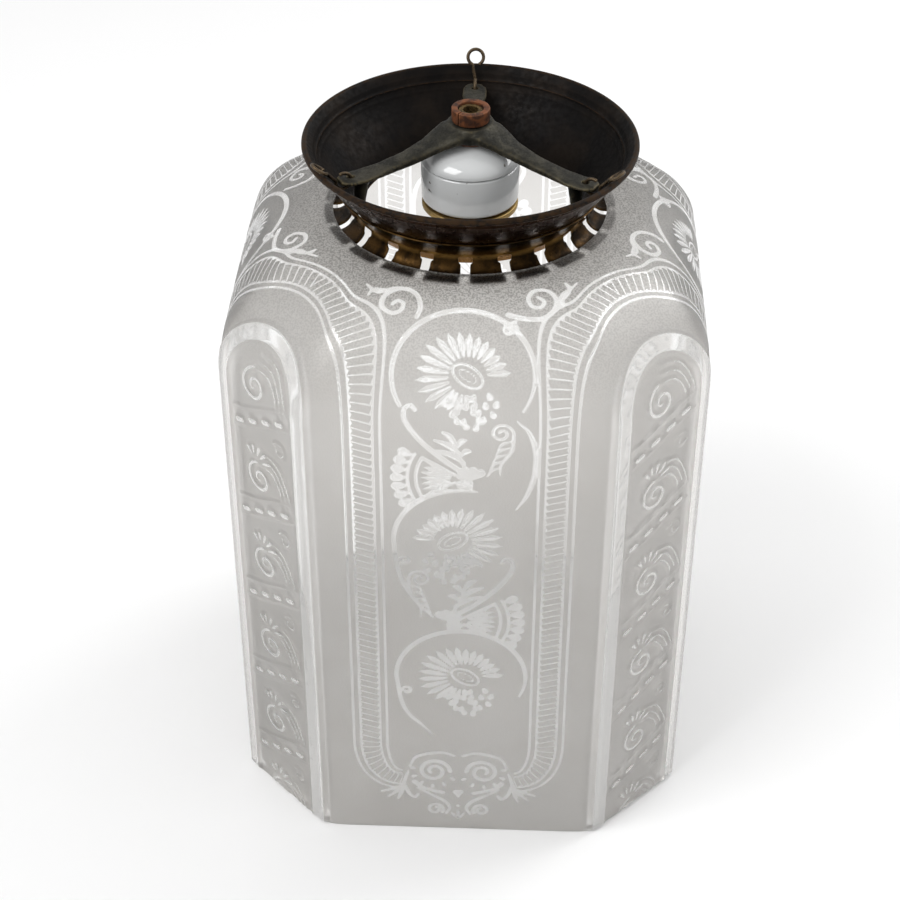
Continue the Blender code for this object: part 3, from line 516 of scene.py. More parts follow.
def draw_foot(field):
    """The leaves, scrolls and heart along the bottom of a face."""
    leaf = (LEAF_ACROSS - 1.5, 36.0)
    for sign in (-1, 1):
        field.sign = sign
        field.curve([(24.5, 41), (26, 36), (27.5, 30)], (0.4, 0.9, 1.0))
        for tip, half in (((38.5, 25.5), 0.9), ((35.0, 22.0), 1.0), ((30.0, 20.5), 1.1)):
            middle = ((leaf[0] + tip[0]) / 2 + 0.6, (leaf[1] + tip[1]) / 2 - 3.2)
            field.curve([(leaf[0] + 1, 31), middle, tip], (0.5, half, 0.5))
        field.curve([(26.5, 31), (24.5, 25), (21.5, 22.2), (19.8, 24.2)], (0.9, 1.0, 0.8, 0.9))
        field.curve([(21.5, 33), (18, 29.5), (13, 27.4), (7.5, 26)], (1.5, 1.0, 0.9, 1.1))
        field.curve([(20.5, 29), (13, 24), (7, 20), (4.2, 15.5), (6, 11)], (0.5, 0.8, 1.0, 0.9, 0.7))
        field.spiral((11.5, 14), 4.2, 1.4, -150, -1.3, (0.9, 0.8, 0.6))
        field.spiral((12, 41), 8.0, 2.0, 180, -1.6, (1.1, 1.0, 0.8))
        for k in range(6):
            field.petal((12, 41), -150 + 32 * k, 9.0, 12.0, 1.0)
        field.curve([(2, 52), (9, 54), (20, 51), (24, 44)], (0.7, 0.9, 0.6))
        field.petal((0.0, 6.5), 58, 1.0, 6.5, 0.7)
    field.petal((0.0, 6.5), 90, 1.5, 7.5, 0.8)
    field.pen([(-1.2, 26.6), (1.2, 26.6)], (1.5, 1.5))
    field.pen([(0, 26), (0, 22.5)], (2.2, 0.3))
    field.pen([(0, 16.8), (0, 16.7)], (0.9, 0.9))


def draw_flower(field, middle):
    """A sunflower with an oval eye, seen from one side, over a cluster of scales."""
    eye = (3.0, middle)
    field.oval(eye, 7.2, 4.2, -32, 0.6)
    field.oval(eye, 4.4, 1.8, -32, 0.3)
    for k in range(19):
        angle = 6 + 13.8 * k
        far = float(np.interp(angle, (0, 35, 80, 110, 140, 200, 225, 245),
                              (19, 16.5, 18, 20, 23, 22.5, 21, 17)))
        field.petal(eye, angle, 8.6, far, 1.45)
    for row, count in enumerate((4, 6, 5, 4, 2)):
        for k in range(count):
            across = (k - (count - 1) / 2) * 4.3 + 4.5 + 0.8 * math.sin(9 * k + row)
            fall = middle - 9.5 - 3.7 * row + 0.7 * math.sin(5 * k + 2 * row)
            field.petal((across, fall + 2.0), 240 + 14 * ((3 * k + row) % 5), 0.2, 3.2, 1.5)


def draw_ring(field, middle, angles, tail, hook):
    """The stem that runs round a flower, with its small hook and its tail."""
    path = []
    for k in range(41):
        angle = math.radians(angles[0] + (angles[1] - angles[0]) * k / 40)
        path.append((1.0 + 30.6 * math.cos(angle), middle + 29.0 * math.sin(angle)))
    field.pen(path, (0.6, 1.2, 1.3, 1.2, 1.0))
    if tail:
        field.curve([path[-1]] + [(x, middle + rise) for x, rise in tail], (1.0, 1.0, 0.8, 0.4))
    field.spiral((hook[0], middle + hook[1]), 2.5, 1.1, hook[2], -0.9, (0.7, 0.8, 0.9))


def draw_rings(field):
    low, middle, high = FLOWER_MIDDLES
    draw_ring(field, low, (-24, 180), [(-27.5, -16), (-24, -25), (-18, -32), (-12, -39)], (-24.6, -9.5, 185))
    draw_ring(field, middle, (78, 180), [(-28, -16), (-24.5, -28), (-19, -37), (-13, -45)],
              (-24.6, -12, 185))
    draw_ring(field, high, (-32, 208), None, (19.6, 20.8, 20))
    field.curve([(24.5, 255), (30, 249), (33, 238), (32.6, 226), (29.5, 215), (25, 207)],
                (0.5, 1.1, 1.3, 1.1, 0.4))


def draw_link(field, knot):
    """Between two flowers: a calyx, a stem with a hook, a leaf, a scroll and a scalloped fan."""
    x, t = -5.0, knot
    for angle, far in ((60, 7.0), (100, 6.5), (140, 7.5), (-35, 7.5), (-75, 7.0), (20, 6.5)):
        field.petal((x, t), angle, 0.5, far, 2.1)
    field.curve([(x, t + 1), (x + 12, t + 10), (x + 22, t + 20), (x + 28.5, t + 30), (x + 29, t + 36),
                 (x + 26.3, t + 38), (x + 24.4, t + 36)], (1.3, 1.2, 1.2, 1.0, 1.1))
    field.curve([(x + 1, t + 3), (x + 6, t + 13), (x + 8, t + 22)], (0.8, 0.8, 0.5))
    for share, tip in ((0.3, (x + 15, t + 15)), (0.55, (x + 16, t + 20.5)), (0.8, (x + 12.5, t + 25)),
                       (0.5, (x + 0.5, t + 15)), (0.75, (x + 2.5, t + 21))):
        root = (x + 1 + 7 * share, t + 3 + 19 * share)
        field.curve([root, ((root[0] + tip[0]) / 2, (root[1] + tip[1]) / 2 + 1.2), tip],
                    (0.8, 1.5, 0.7))
    field.spiral((-18, t + 25), 5.2, 1.0, 190, -1.5, (0.7, 0.7, 0.6))
    field.curve([(-23.2, t + 25), (-22.5, t + 16), (-18, t + 8), (-18, t + 1)], (0.7, 0.9, 0.7, 0.3))
    for k in range(5):
        root = (-22.4 + 1.1 * k, t + 21 - 3.6 * k)
        field.curve([root, (root[0] + 4, root[1] - 1.6), (root[0] + 6, root[1] - 5.0)], (0.3, 0.7, 0.3))
    hub = (x + 2, t)
    for k in range(7):
        angle = -27 + 9 * k
        field.petal(hub, angle, 7.0, 20.5, 1.0)
        field.petal(hub, angle, 27.5, 33.0, 2.3)
    for radius in (22.3, 26.0):
        arc = [(hub[0] + radius * math.cos(a), hub[1] + radius * math.sin(a))
               for a in np.linspace(math.radians(-30), math.radians(30), 15)]
        field.pen(arc, (0.75, 0.75))
    for side in (-1, 1):
        field.pen([(hub[0] + 5, hub[1] + side * 2), (hub[0] + 19.5, hub[1] + side * 11)], (0.7, 0.9))


def draw_crown(field):
    """The two scrolls with leaf tips between the top ring and the hole."""
    field.curve([(-19.5, 300.5), (-18.2, 306), (-20.5, 313), (-27, 316.6), (-33.6, 313), (-34.8, 306.8),
                 (-30.6, 302.8), (-26.6, 304), (-25.6, 307.6), (-28.2, 309.4), (-30.2, 307.6)],
                (1.0, 1.1, 1.2, 1.0, 0.9, 0.9))
    field.curve([(-24, 316.4), (-30, 317), (-37, 315.5), (-42, 321)], (0.8, 1.2, 1.0, 0.6))
    field.curve([(-34, 316.6), (-39, 317.6), (-41, 313.8)], (0.8, 0.9, 0.5))
    field.curve([(19.5, 302.6), (27, 301.2), (34, 302), (38.6, 306.5), (40, 313), (36.4, 318.6),
                 (30.6, 317.8), (27.8, 312.4), (29.6, 308), (33.4, 308.2), (34.6, 311.6), (32, 313.6)],
                (1.3, 1.1, 1.1, 1.0, 0.9, 0.9))
    field.curve([(37, 304), (41.5, 311), (43, 318), (48.5, 321)], (0.9, 1.5, 1.1, 0.6))
    field.curve([(42.5, 314), (45.5, 319.5), (43.5, 324)], (0.8, 0.9, 0.4))
    field.spiral((22.2, 296.6), 2.6, 1.0, 80, 0.9, (0.8, 0.8, 0.9))


def draw_panel(field, sideways):
    """The moulded relief in a corner panel: volutes, palmettes and slanting beaded bands."""
    relief = Field(sideways, field.along)
    for k in range(6):
        top = 254.0 - PANEL_PITCH * k
        relief.spiral((-3.0, top), 8.6, 1.0, 100, 1.5, (1.5, 1.7, 1.5, 1.3))
        for m in range(3):
            relief.curve([(-3 + m, top + 8.6 + 3.9 * m), (6 + 2.2 * m, top + 7.4 + 3.0 * m),
                          (11.5 + 2.9 * m, top + 0.5 * m), (12 + 3.2 * m, top - 9 + 1.5 * m)],
                         (0.8, 1.35, 1.35, 0.7))
        for lift in (0.0, 10.0):
            relief.curve([(-22, top - 29 + lift), (-8, top - 24.5 + lift), (8, top - 17.5 + lift),
                          (22, top - 12.5 + lift)], (1.0, 1.0))
        for m in range(4):
            across = -15 + 9.5 * m
            middle = top - 19.6 + 0.42 * (across + 8) - 2.2
            relief.pen([(across - 1.7, middle), (across + 1.7, middle + 0.9)], (2.1, 2.1))
        relief.spiral((12.5, top - 27.5), 4.4, 0.8, 150, -1.3, (1.1, 1.2, 1.1))
        for m in range(5):
            relief.petal((-5.0, top - 43.0), 20 + 27 * m, 2.5, 13.0 - 0.6 * m, 1.75)
    return relief.distance


def smooth_step(share):
    share = np.clip(share, 0.0, 1.0)
    return share * share * (3 - 2 * share)


# The glass

def wall_radius(angle):
    across, along = np.abs(np.cos(angle)), np.abs(np.sin(angle))
    diagonal = math.sqrt(2) * CHAMFER_DISTANCE
    terms = (across / SHADE_HALF, along / SHADE_HALF, (across + along) / diagonal,
             np.abs(across - along) / diagonal)
    return sum(term ** CORNER_SHARPNESS for term in terms) ** (-1 / CORNER_SHARPNESS)


def shoulder(radius, turn):
    """Points of the shoulder and its outward normals, as radial and upright parts."""
    power = 2 / SHOULDER_POWER
    across, up = np.maximum(np.cos(turn), 1e-9), np.maximum(np.sin(turn), 1e-9)
    reach = radius - HOLE_R
    radial, z = HOLE_R + reach * across ** power, SHOULDER_Z + SHOULDER_RISE * up ** power + 0 * radius
    out, rise = across ** (2 - power) / reach, up ** (2 - power) / SHOULDER_RISE + 0 * radius
    length = np.hypot(out, rise)
    return radial, z, out / length, rise / length


def quarter_angles():
    """Plan angles over one face and the corner after it, measured from the face's middle."""
    face_count, corner_count = round(2 * FACE_HALF / CELL), round(2 * CORNER_HALF / CELL)
    face = np.arctan2(FACE_HALF * (2 * np.arange(face_count) / face_count - 1), SHADE_HALF)
    corner = math.pi / 4 + np.arctan2(CORNER_HALF * (2 * np.arange(corner_count) / corner_count - 1),
                                      CHAMFER_DISTANCE)
    return np.concatenate([face, corner])


def shoulder_turns():
    """Turns of the shoulder at even steps along it."""
    fine = np.linspace(0, math.pi / 2, 400)
    radial, z, _, _ = shoulder(np.full(fine.shape, CHAMFER_DISTANCE), fine)
    run = np.concatenate([[0], np.cumsum(np.hypot(np.diff(radial), np.diff(z)))])
    count = round(run[-1] / CELL)
    return np.interp(np.linspace(0, run[-1], count + 1), run, fine)


def glass_surface():
    """The outer surface over one quarter: positions, normals, and places on the unrolled glass."""
    angles = quarter_angles()
    radius = wall_radius(angles)
    wall_z = np.linspace(0, SHOULDER_Z, round(SHOULDER_Z / CELL), endpoint=False)
    turns = shoulder_turns()
    low = np.broadcast_to(radius, (len(wall_z), len(angles)))
    radial, z, out, rise = shoulder(radius[None, :], turns[:, None])
    radial = np.concatenate([low, radial])
    z = np.concatenate([np.repeat(wall_z[:, None], len(angles), 1), z])
    out = np.concatenate([np.ones_like(low), out])
    rise = np.concatenate([np.zeros_like(low), rise])
    steps = np.hypot(np.diff(radial, axis=0), np.diff(z, axis=0))
    along = np.concatenate([np.zeros((1, len(angles))), np.cumsum(steps, axis=0)]) / MM
    face_across = radial * np.sin(angles) / MM
    flat = np.stack([radial * np.cos(angles), radial * np.sin(angles)], -1)
    closing = np.stack([-flat[:, :1, 1], flat[:, :1, 0]], -1)
    stride = np.linalg.norm(np.diff(np.concatenate([flat, closing], 1), axis=1), axis=-1)
    run = np.concatenate([np.zeros((len(z), 1)), np.cumsum(stride, axis=1)], 1)[:, :-1]
    whole = run[:, -1:] + stride[:, -1:]
    face_middle = np.array([np.interp(0.0, angles, row) for row in run])[:, None]
    from_face = (run - face_middle) / MM
    to_corner = whole / 2 / MM
    corner_across = np.where(from_face < 0, from_face + to_corner, from_face - to_corner)
    from_diagonal = np.abs(radial * np.sin((angles + math.pi / 2) % (math.pi / 2) - math.pi / 4)) / MM
    return angles, radial, z, out, rise, along, face_across, corner_across, from_diagonal


def etched_field(along, face_across, corner_across, from_diagonal):
    """Distance to the clear lines, the rope's place, and the corner panels' height, in millimetres."""
    field = Field(face_across, along)
    rope = draw_border(field, from_diagonal)
    draw_foot(field)
    for k, middle in enumerate(FLOWER_MIDDLES):
        field.sign = -1 if k == 1 else 1
        draw_flower(field, middle)
        if k < 2:
            draw_link(field, middle + KNOT_RISE)
    field.sign = 1
    draw_rings(field)
    draw_crown(field)
    inside = PAD_HALF - np.hypot(corner_across, np.maximum(0, along - SHOULDER_T - PAD_ARCH_LIFT))
    rise = PAD_RISE * smooth_step(inside / PAD_EDGE) \
        - PAD_FIELD_DROP * smooth_step((inside - PAD_BORDER) / PAD_EDGE)
    relief = draw_panel(field, corner_across)
    in_field = smooth_step(inside - PAD_BORDER - PANEL_MARGIN)
    raised = PANEL_RELIEF * smooth_step(RELIEF_START - relief / RELIEF_SLOPE) * in_field
    rise = (rise + raised) * smooth_step(along / PAD_FOOT)
    strip = np.abs(inside - PAD_BORDER / 2 - STRIP_SHIFT) - PAD_BORDER / 2 + STRIP_INSET
    field.merge(np.where(inside > 0, np.maximum(strip, -inside), UNDRAWN))
    field.merge(np.where(in_field > 0.5, relief + RELIEF_CLEAR, UNDRAWN))
    return field.distance, rope, rise


def make_glass(finish):
    angles, radial, z, out, rise, along, face_across, corner_across, from_diagonal = glass_surface()
    line, rope, lift = etched_field(along, face_across, corner_across, from_diagonal)
    proud = lift * MM + LINE_PROUD * smooth_step(-line / LINE_SLOPE + 0.5)
    outer_r, outer_z = radial + proud * out, z + proud * rise
    outer_r[0] -= EDGE_ROUND
    outer_r[-1] += EDGE_ROUND
    inner_rows = np.unique(np.linspace(0, len(z) - 1, INNER_ROWS).astype(int))
    inner_r = (radial - GLASS_WALL * out)[inner_rows]
    inner_z = (z - GLASS_WALL * rise)[inner_rows]
    inner_r[0] += EDGE_ROUND
    inner_r[-1] = HOLE_R + EDGE_ROUND
    lips_r = np.full((2, len(angles)), HOLE_R)
    lips_z = np.stack([np.full(len(angles), SHADE_HEIGHT - EDGE_ROUND),
                       np.full(len(angles), SHADE_HEIGHT - GLASS_WALL + EDGE_ROUND)])
    all_r = np.concatenate([outer_r, lips_r, inner_r[::-1]])
    all_z = np.concatenate([outer_z, lips_z, inner_z[::-1]])
    plain_rows = 2 + len(inner_rows)
    outer_line = np.concatenate([line, np.full((plain_rows, len(angles)), -1.0)])
    rope = np.concatenate([rope, np.full((plain_rows, len(angles), 3), FAR)])
    rows, columns = all_r.shape[0], 4 * len(angles)
    plan = np.concatenate([angles + quarter * math.pi / 2 for quarter in range(4)])
    full_r, full_z, full_line = (np.tile(part, (1, 4)) for part in (all_r, all_z, outer_line))
    points = np.stack([full_r * np.cos(plan), full_r * np.sin(plan), full_z], -1).reshape(-1, 3)
    index = np.arange(rows * columns).reshape(rows, columns)
    above, beside = np.roll(index, -1, axis=0), np.roll(index, -1, axis=1)
    corner = np.roll(above, -1, axis=1)
    faces = np.stack([index, beside, corner, above], -1).reshape(-1, 4)
    mesh = bpy.data.meshes.new("shade_glass")
    mesh.vertices.add(len(points))
    mesh.vertices.foreach_set("co", points.astype(np.float32).ravel())
    mesh.loops.add(faces.size)
    mesh.loops.foreach_set("vertex_index", faces.astype(np.int32).ravel())
    mesh.polygons.add(len(faces))
    mesh.polygons.foreach_set("loop_start", np.arange(0, faces.size, 4, dtype=np.int32))
    mesh.update(calc_edges=True)
    attribute = mesh.attributes.new("line_distance", 'FLOAT', 'POINT')
    attribute.data.foreach_set("value", full_line.astype(np.float32).ravel())
    attribute = mesh.attributes.new("rope", 'FLOAT_VECTOR', 'POINT')
    attribute.data.foreach_set("vector", np.tile(rope, (1, 4, 1)).astype(np.float32).ravel())
    return show_mesh("shade_glass", mesh, finish, "glass_shade", 60)


# Gallery dish and glass fitter

def flare_point(share, offset=0.0):
    run, rise = STEP_R - LIP_R, STEP_Z - LIP_Z
    radius = LIP_R + run * (share - FLARE_SWING * math.sin(TURN * share))
    slope = Vector((run * (1 - FLARE_SWING * TURN * math.cos(TURN * share)), rise)).normalized()
    return radius + offset * slope.y, LIP_Z + rise * share - offset * slope.x


def spun_ridge(share):
    """The faint rings that spinning left near the dish's rim."""
    rings = ((0.90, 0.34), (0.80, 0.12), (0.62, 0.06), (0.12, 0.12))
    return sum(height * MM * math.exp(-((share - place) / 0.014) ** 2) for place, height in rings)


def make_dish(finish):
    steps, segments = 70, 192
    shares = [i / steps for i in range(steps + 1)]
    outside = [flare_point(s, DISH_WALL / 2 + spun_ridge(s) * 0.5) for s in shares]
    inside = [flare_point(s, -DISH_WALL / 2 - spun_ridge(s)) for s in shares]
    centre = (RIM_R - CURL_OUT, RIM_Z - CURL_OUT)
    curl = [(centre[0] + CURL_OUT * math.cos(a), centre[1] + CURL_OUT * math.sin(a))
            for a in (math.radians(d) for d in range(-80, 171, 18))]
    made = turned("dish", outside + curl + inside[::-1], segments,
                  (finish, "gallery_dish", "gallery_brass", 50))
    mark = made.data.attributes.new("outside", 'FLOAT', 'POINT')
    outside_count = segments * (len(outside) + 3)       # three rings of the curl face outward too
    mark.data.foreach_set("value", [float(i < outside_count) for i in range(len(made.data.vertices))])


def tab_point(share):
    """A place on a tab's middle line, from its root (0) to the flat under the hole's edge (1)."""
    turn = share * math.pi / 2
    root_r = flare_point(BAND_LOW_SHARE, FITTER_OFFSET)[0]
    radius = root_r + (HOLE_R - 2 * FIT - root_r) * (1 - math.cos(turn))
    return radius, TAB_ROOT_Z - (TAB_ROOT_Z - TAB_Z) * math.sin(turn)


def fitter_rows():
    """Radius, height and slot width of each row, from the tabs' tips up, and whether its slots are open."""
    rows = []
    band_slot = SLOT_ROOT_WIDTH - 0.8 * MM
    tab_share = 0.93                # the part of a tab below its root row
    widens_at, widens_over = 0.32, 0.12
    for k in range(5):
        inward = TAB_END_ROUND * (1 - math.cos(math.pi / 2 * k / 4))
        left = math.sqrt(max(0.0, TAB_END_ROUND ** 2 - (TAB_END_ROUND - inward) ** 2))
        rows.append((HOLE_R + TAB_REACH - inward, TAB_Z, SLOT_WIDTH + 2 * (TAB_END_ROUND - left), True))
    for k in range(13):
        share = 1 - k / 12 * tab_share
        wide = float(smooth_step((widens_at - share) / widens_over))
        rows.append((*tab_point(share), SLOT_WIDTH + (SLOT_ROOT_WIDTH - SLOT_WIDTH) * wide, True))
    rows.append((*tab_point(0), band_slot, False))
    for k in range(13):
        share = BAND_LOW_SHARE + (BAND_TOP_SHARE - BAND_LOW_SHARE) * k / 12
        rows.append((*flare_point(share, FITTER_OFFSET), band_slot, False))
    return rows


def make_fitter(finish):
    rows = fitter_rows()
    pitch = TURN / TAB_COUNT
    tab_columns, gap_columns = 8, 3
    mesh_data = bmesh.new()
    grid = []
    for radius, z, slot, _ in rows:
        places = []
        gap = slot / radius
        for tab in range(TAB_COUNT):
            start = -math.pi / 2 + pitch * tab + gap / 2
            tilt = 0.10 * MM * math.sin(tab * 2.4) if radius > HOLE_R - 2 * MM else 0.0
            for c in range(tab_columns + 1):
                share = c / tab_columns
                places.append(polar(radius, start + (pitch - gap) * share, z + tilt * (share - 0.5)))
            for c in range(1, gap_columns):
                places.append(polar(radius, start + pitch - gap + gap * c / gap_columns, z))
        grid.append([mesh_data.verts.new(place) for place in places])
    period = tab_columns + gap_columns
    for low, high, row in zip(grid, grid[1:], rows):
        for i in range(len(low)):
            if row[3] and i % period >= tab_columns:
                continue
            j = (i + 1) % len(low)
            mesh_data.faces.new((low[i], low[j], high[j], high[i]))
    loose = [v for v in mesh_data.verts if not v.link_faces]
    bmesh.ops.delete(mesh_data, geom=loose, context='VERTS')
    made = show("fitter", mesh_data, finish, "glass_fitter", "fitter_brass", 50)
    wall = made.modifiers.new("sheet", 'SOLIDIFY')
    wall.thickness = FITTER_WALL
    wall.offset = 0
    wall.use_even_offset = True
    edge = made.modifiers.new("edge", 'BEVEL')
    edge.width = 0.15 * MM
    edge.segments = 2
    edge.limit_method = 'ANGLE'


# Spider

def oval_section(radius, half, low, high, angle, sides=20, power=2.8):
    turned_to = Matrix.Rotation(angle, 4, 'Z')
    middle, reach = (low + high) / 2, (high - low) / 2
    section = []
    for k in range(sides):
        a = TURN * k / sides
        c, s = math.cos(a), math.sin(a)
        across = half * math.copysign(abs(c) ** (2 / power), c)
        up = reach * math.copysign(abs(s) ** (2 / power), s)
        section.append(turned_to @ Vector((radius, across, middle + up)))
    return section


def add_arm(mesh_data, angle):
    """One arm, lofted through stations of share of its length, half width, height and depth."""
    eye_high = LINK_AXIS_Z + EYE_THICKNESS / 2
    fall = HUB_TOP_Z - eye_high
    stations = [(0.0, 9.4, 1.0, 7.8), (0.16, 9.6, 0.95, 7.5), (0.24, 8.2, 0.76, 5.6), (0.34, 6.2, 0.56, 5.4),
                (0.5, 5.0, 0.33, 5.1), (0.68, 4.8, 0.15, 4.4), (0.8, 6.0, 0.04, 3.2), (0.92, 6.0, 0.0, 2.6),
                (0.965, 5.2, 0.0, 2.6), (1.0, 3.0, 0.0, 2.6)]
    keys, *columns = zip(*stations)
    sections = []
    for share in np.linspace(0.02, 1.0, 44):
        half, height, depth = (float(np.interp(share, keys, column)) for column in columns)
        high = eye_high + fall * height
        sections.append(oval_section(ARM_TIP_R * share, half * MM, high - depth * MM, high, angle))
    skin_rings(mesh_data, sections, caps=True)


def add_foot(mesh_data, angle):
    """The foot that comes down from an arm to lie on the dish."""
    inside = -(DISH_WALL / 2 + 0.6 * MM)
    radius, z = flare_point(FOOT_SHARE, inside)
    low, high = flare_point(FOOT_SHARE - 0.1, inside), flare_point(FOOT_SHARE + 0.1, inside)
    slope = Vector((high[0] - low[0], high[1] - low[1])).normalized()
    turned_to = Matrix.Rotation(angle, 4, 'Z')
    top_r = EYE_R - 5.5 * MM

    def ring(centre_r, centre_z, along, half_long, half_wide):
        return [turned_to @ Vector((centre_r + along.x * half_long * math.cos(a), half_wide * math.sin(a),
                                    centre_z + along.y * half_long * math.cos(a)))
                for a in (TURN * k / 20 for k in range(20))]

    rings = [ring(radius, z, slope, 3.4 * MM, 4.4 * MM),
             ring(radius + 0.28 * (top_r - radius), z + 0.25 * (LINK_AXIS_Z - z), slope, 3.0 * MM, 3.8 * MM),
             ring(top_r, LINK_AXIS_Z + 0.5 * MM, Vector((1, 0)), 3.4 * MM, 4.2 * MM)]
    skin_rings(mesh_data, rings, caps=True)


def rod(name, radius, low, high, where=(0, 0)):
    mesh_data = bmesh.new()
    skin_rings(mesh_data, [[point + Vector((*where, 0)) for point in circle(radius, z, 32)]
                           for z in (low, high)], caps=True)
    bmesh.ops.recalc_face_normals(mesh_data, faces=mesh_data.faces)
    return in_scene(name, as_mesh(name, mesh_data))


def bake_modifiers(made):
    bpy.context.view_layer.update()
    evaluated = made.evaluated_get(bpy.context.evaluated_depsgraph_get())
    finished = bpy.data.meshes.new_from_object(evaluated)
    made.modifiers.clear()
    made.data = finished


def make_spider(finish):
    """Hub, arms and feet melted into one casting, bored, and then given its grain."""
    mesh_data = bmesh.new()
    hub = [(0.05 * MM, HUB_BOTTOM_Z), (HUB_R, HUB_BOTTOM_Z), (HUB_R, HUB_TOP_Z), (0.05 * MM, HUB_TOP_Z)]
    skin_rings(mesh_data, [circle(radius, z, 48) for radius, z in filleted(hub, 1.6 * MM)], loop=True)
    for angle in ARM_ANGLES:
        add_arm(mesh_data, angle)
        add_foot(mesh_data, angle)
    made = show("spider_casting", mesh_data, finish, "spider", "spider_bronze", 180)
    bpy.context.view_layer.objects.active = made
    melt = made.modifiers.new("melt", 'REMESH')
    melt.mode = 'VOXEL'
    melt.voxel_size = 0.6 * MM
    melt.use_smooth_shade = True
    soften = made.modifiers.new("soften", 'SMOOTH')
    soften.factor = 0.6
    soften.iterations = 4
    cutters = [rod("hub_bore_cutter", BORE_R, HUB_BOTTOM_Z - MM, HUB_TOP_Z + MM)]
    for i, angle in enumerate(ARM_ANGLES):
        cutters.append(rod(f"eye_cutter_{i}", WIRE_R + 3 * FIT, LINK_AXIS_Z - 4 * MM, LINK_AXIS_Z + 4 * MM,
                           (EYE_R * math.cos(angle), EYE_R * math.sin(angle))))
    for cutter in cutters:
        cut = made.modifiers.new(cutter.name, 'BOOLEAN')
        cut.operation = 'DIFFERENCE'
        cut.object = cutter
    bake_modifiers(made)
    for cutter in cutters:
        bpy.data.objects.remove(cutter)
    for vertex in made.data.vertices:
        grain = noise.noise(vertex.co * 450) * 0.10 + noise.noise(vertex.co * 140) * 0.14
        vertex.co += vertex.normal * (grain - 0.12) * MM
    made.data.shade_smooth()


# Chain links

def link_path():
    """The wire's middle line: an open loop upright, and one lying flat beyond it."""
    steps = 40
    sweep = TURN - 2 * LOOP_OPENING
    inner = [LOOP_OPENING + sweep * k / steps for k in range(steps + 1)]
    first = [Vector((LOOP_R * math.cos(a), 0, LOOP_R * math.sin(a))) for a in inner]
    outer = [math.pi - LOOP_OPENING - sweep * k / steps for k in range(steps + 1)]
    second = [Vector((LOOP_SPACING + LOOP_R * math.cos(a), LOOP_R * math.sin(a), 0)) for a in outer]
    middle = (first[-1] + second[0]) / 2
    return first + [(first[-1] + middle) / 2, middle, (middle + second[0]) / 2] + second


def make_link(index, finish):
    path = link_path()
    rings = []
    side = None
    for i, point in enumerate(path):
        ahead = (path[min(i + 1, len(path) - 1)] - path[max(i - 1, 0)]).normalized()
        side = ahead.orthogonal() if side is None else side - ahead * side.dot(ahead)
        side.normalize()
        up = ahead.cross(side)
        radius = WIRE_R * (1.0 - 0.06 * (1 + noise.noise(point * 600 + Vector((index * 7.0, 0, 0)))))
        rings.append([point + radius * (math.cos(a) * side + math.sin(a) * up)
                      for a in (TURN * k / 14 for k in range(14))])
    mesh_data = bmesh.new()
    skin_rings(mesh_data, rings, caps=True)
    angle, lean = ARM_ANGLES[index - 1], LINK_LEANS[index - 1]
    place = Matrix.Translation(polar(LINK_AXIS_R, angle, LINK_AXIS_Z)) \
        @ Matrix.Rotation(angle, 4, 'Z') @ Matrix.Rotation(-lean, 4, 'Y')
    bmesh.ops.transform(mesh_data, matrix=place, verts=mesh_data.verts)
    show(f"wire_link_{index}", mesh_data, finish, f"chain_link_{index}", "link_wire", 60,
         body=f"link_{index}")


# Collar, nipple and lampholder

def make_collar(finish):
    """A strip of copper bent round, with its split and a few dents."""
    inner, outer = BORE_R, COLLAR_HIGH.x
    low, high = COLLAR_LOW.z, COLLAR_HIGH.z
    outline = filleted([(inner, low), (outer, low), (outer, high), (inner, high)], 0.7 * MM)
    gap = 0.7 * MM / outer
    sections = []
    for k in range(97):
        angle = COLLAR_SPLIT_ANGLE + gap / 2 + (TURN - gap) * k / 96
        dent = abs(0.18 * MM * noise.noise(Vector((math.cos(angle), math.sin(angle), 0)) * 2.5))
        sections.append([polar(r - (dent if r > inner + MM else 0), angle, z) for r, z in outline])
    skinned("copper_collar", sections, (finish, "collar", "collar_copper", 40), caps=True)


def make_nipple(finish):
    """A threaded tube, with the thread's flanks as one turning ridge."""
    low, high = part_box("threaded_nipple")
    pitch, depth, bore = 1.0 * MM, 0.35 * MM, 3.5 * MM
    steps = round((high.z - low.z) / (pitch / 6))
    sides = 48
    rings = []
    for k in range(steps + 1):
        z = low.z + (high.z - low.z) * k / steps
        flank = [abs(2 * ((z / pitch - i / sides) % 1.0) - 1) for i in range(sides)]
        rings.append([polar(high.x - depth * (1 - flank[i]), TURN * i / sides, z) for i in range(sides)])
    rings += [circle(bore, z, sides) for z in (high.z, low.z)]
    skinned("brass_nipple", rings, (finish, "threaded_nipple", "plain_brass", 30), loop=True)


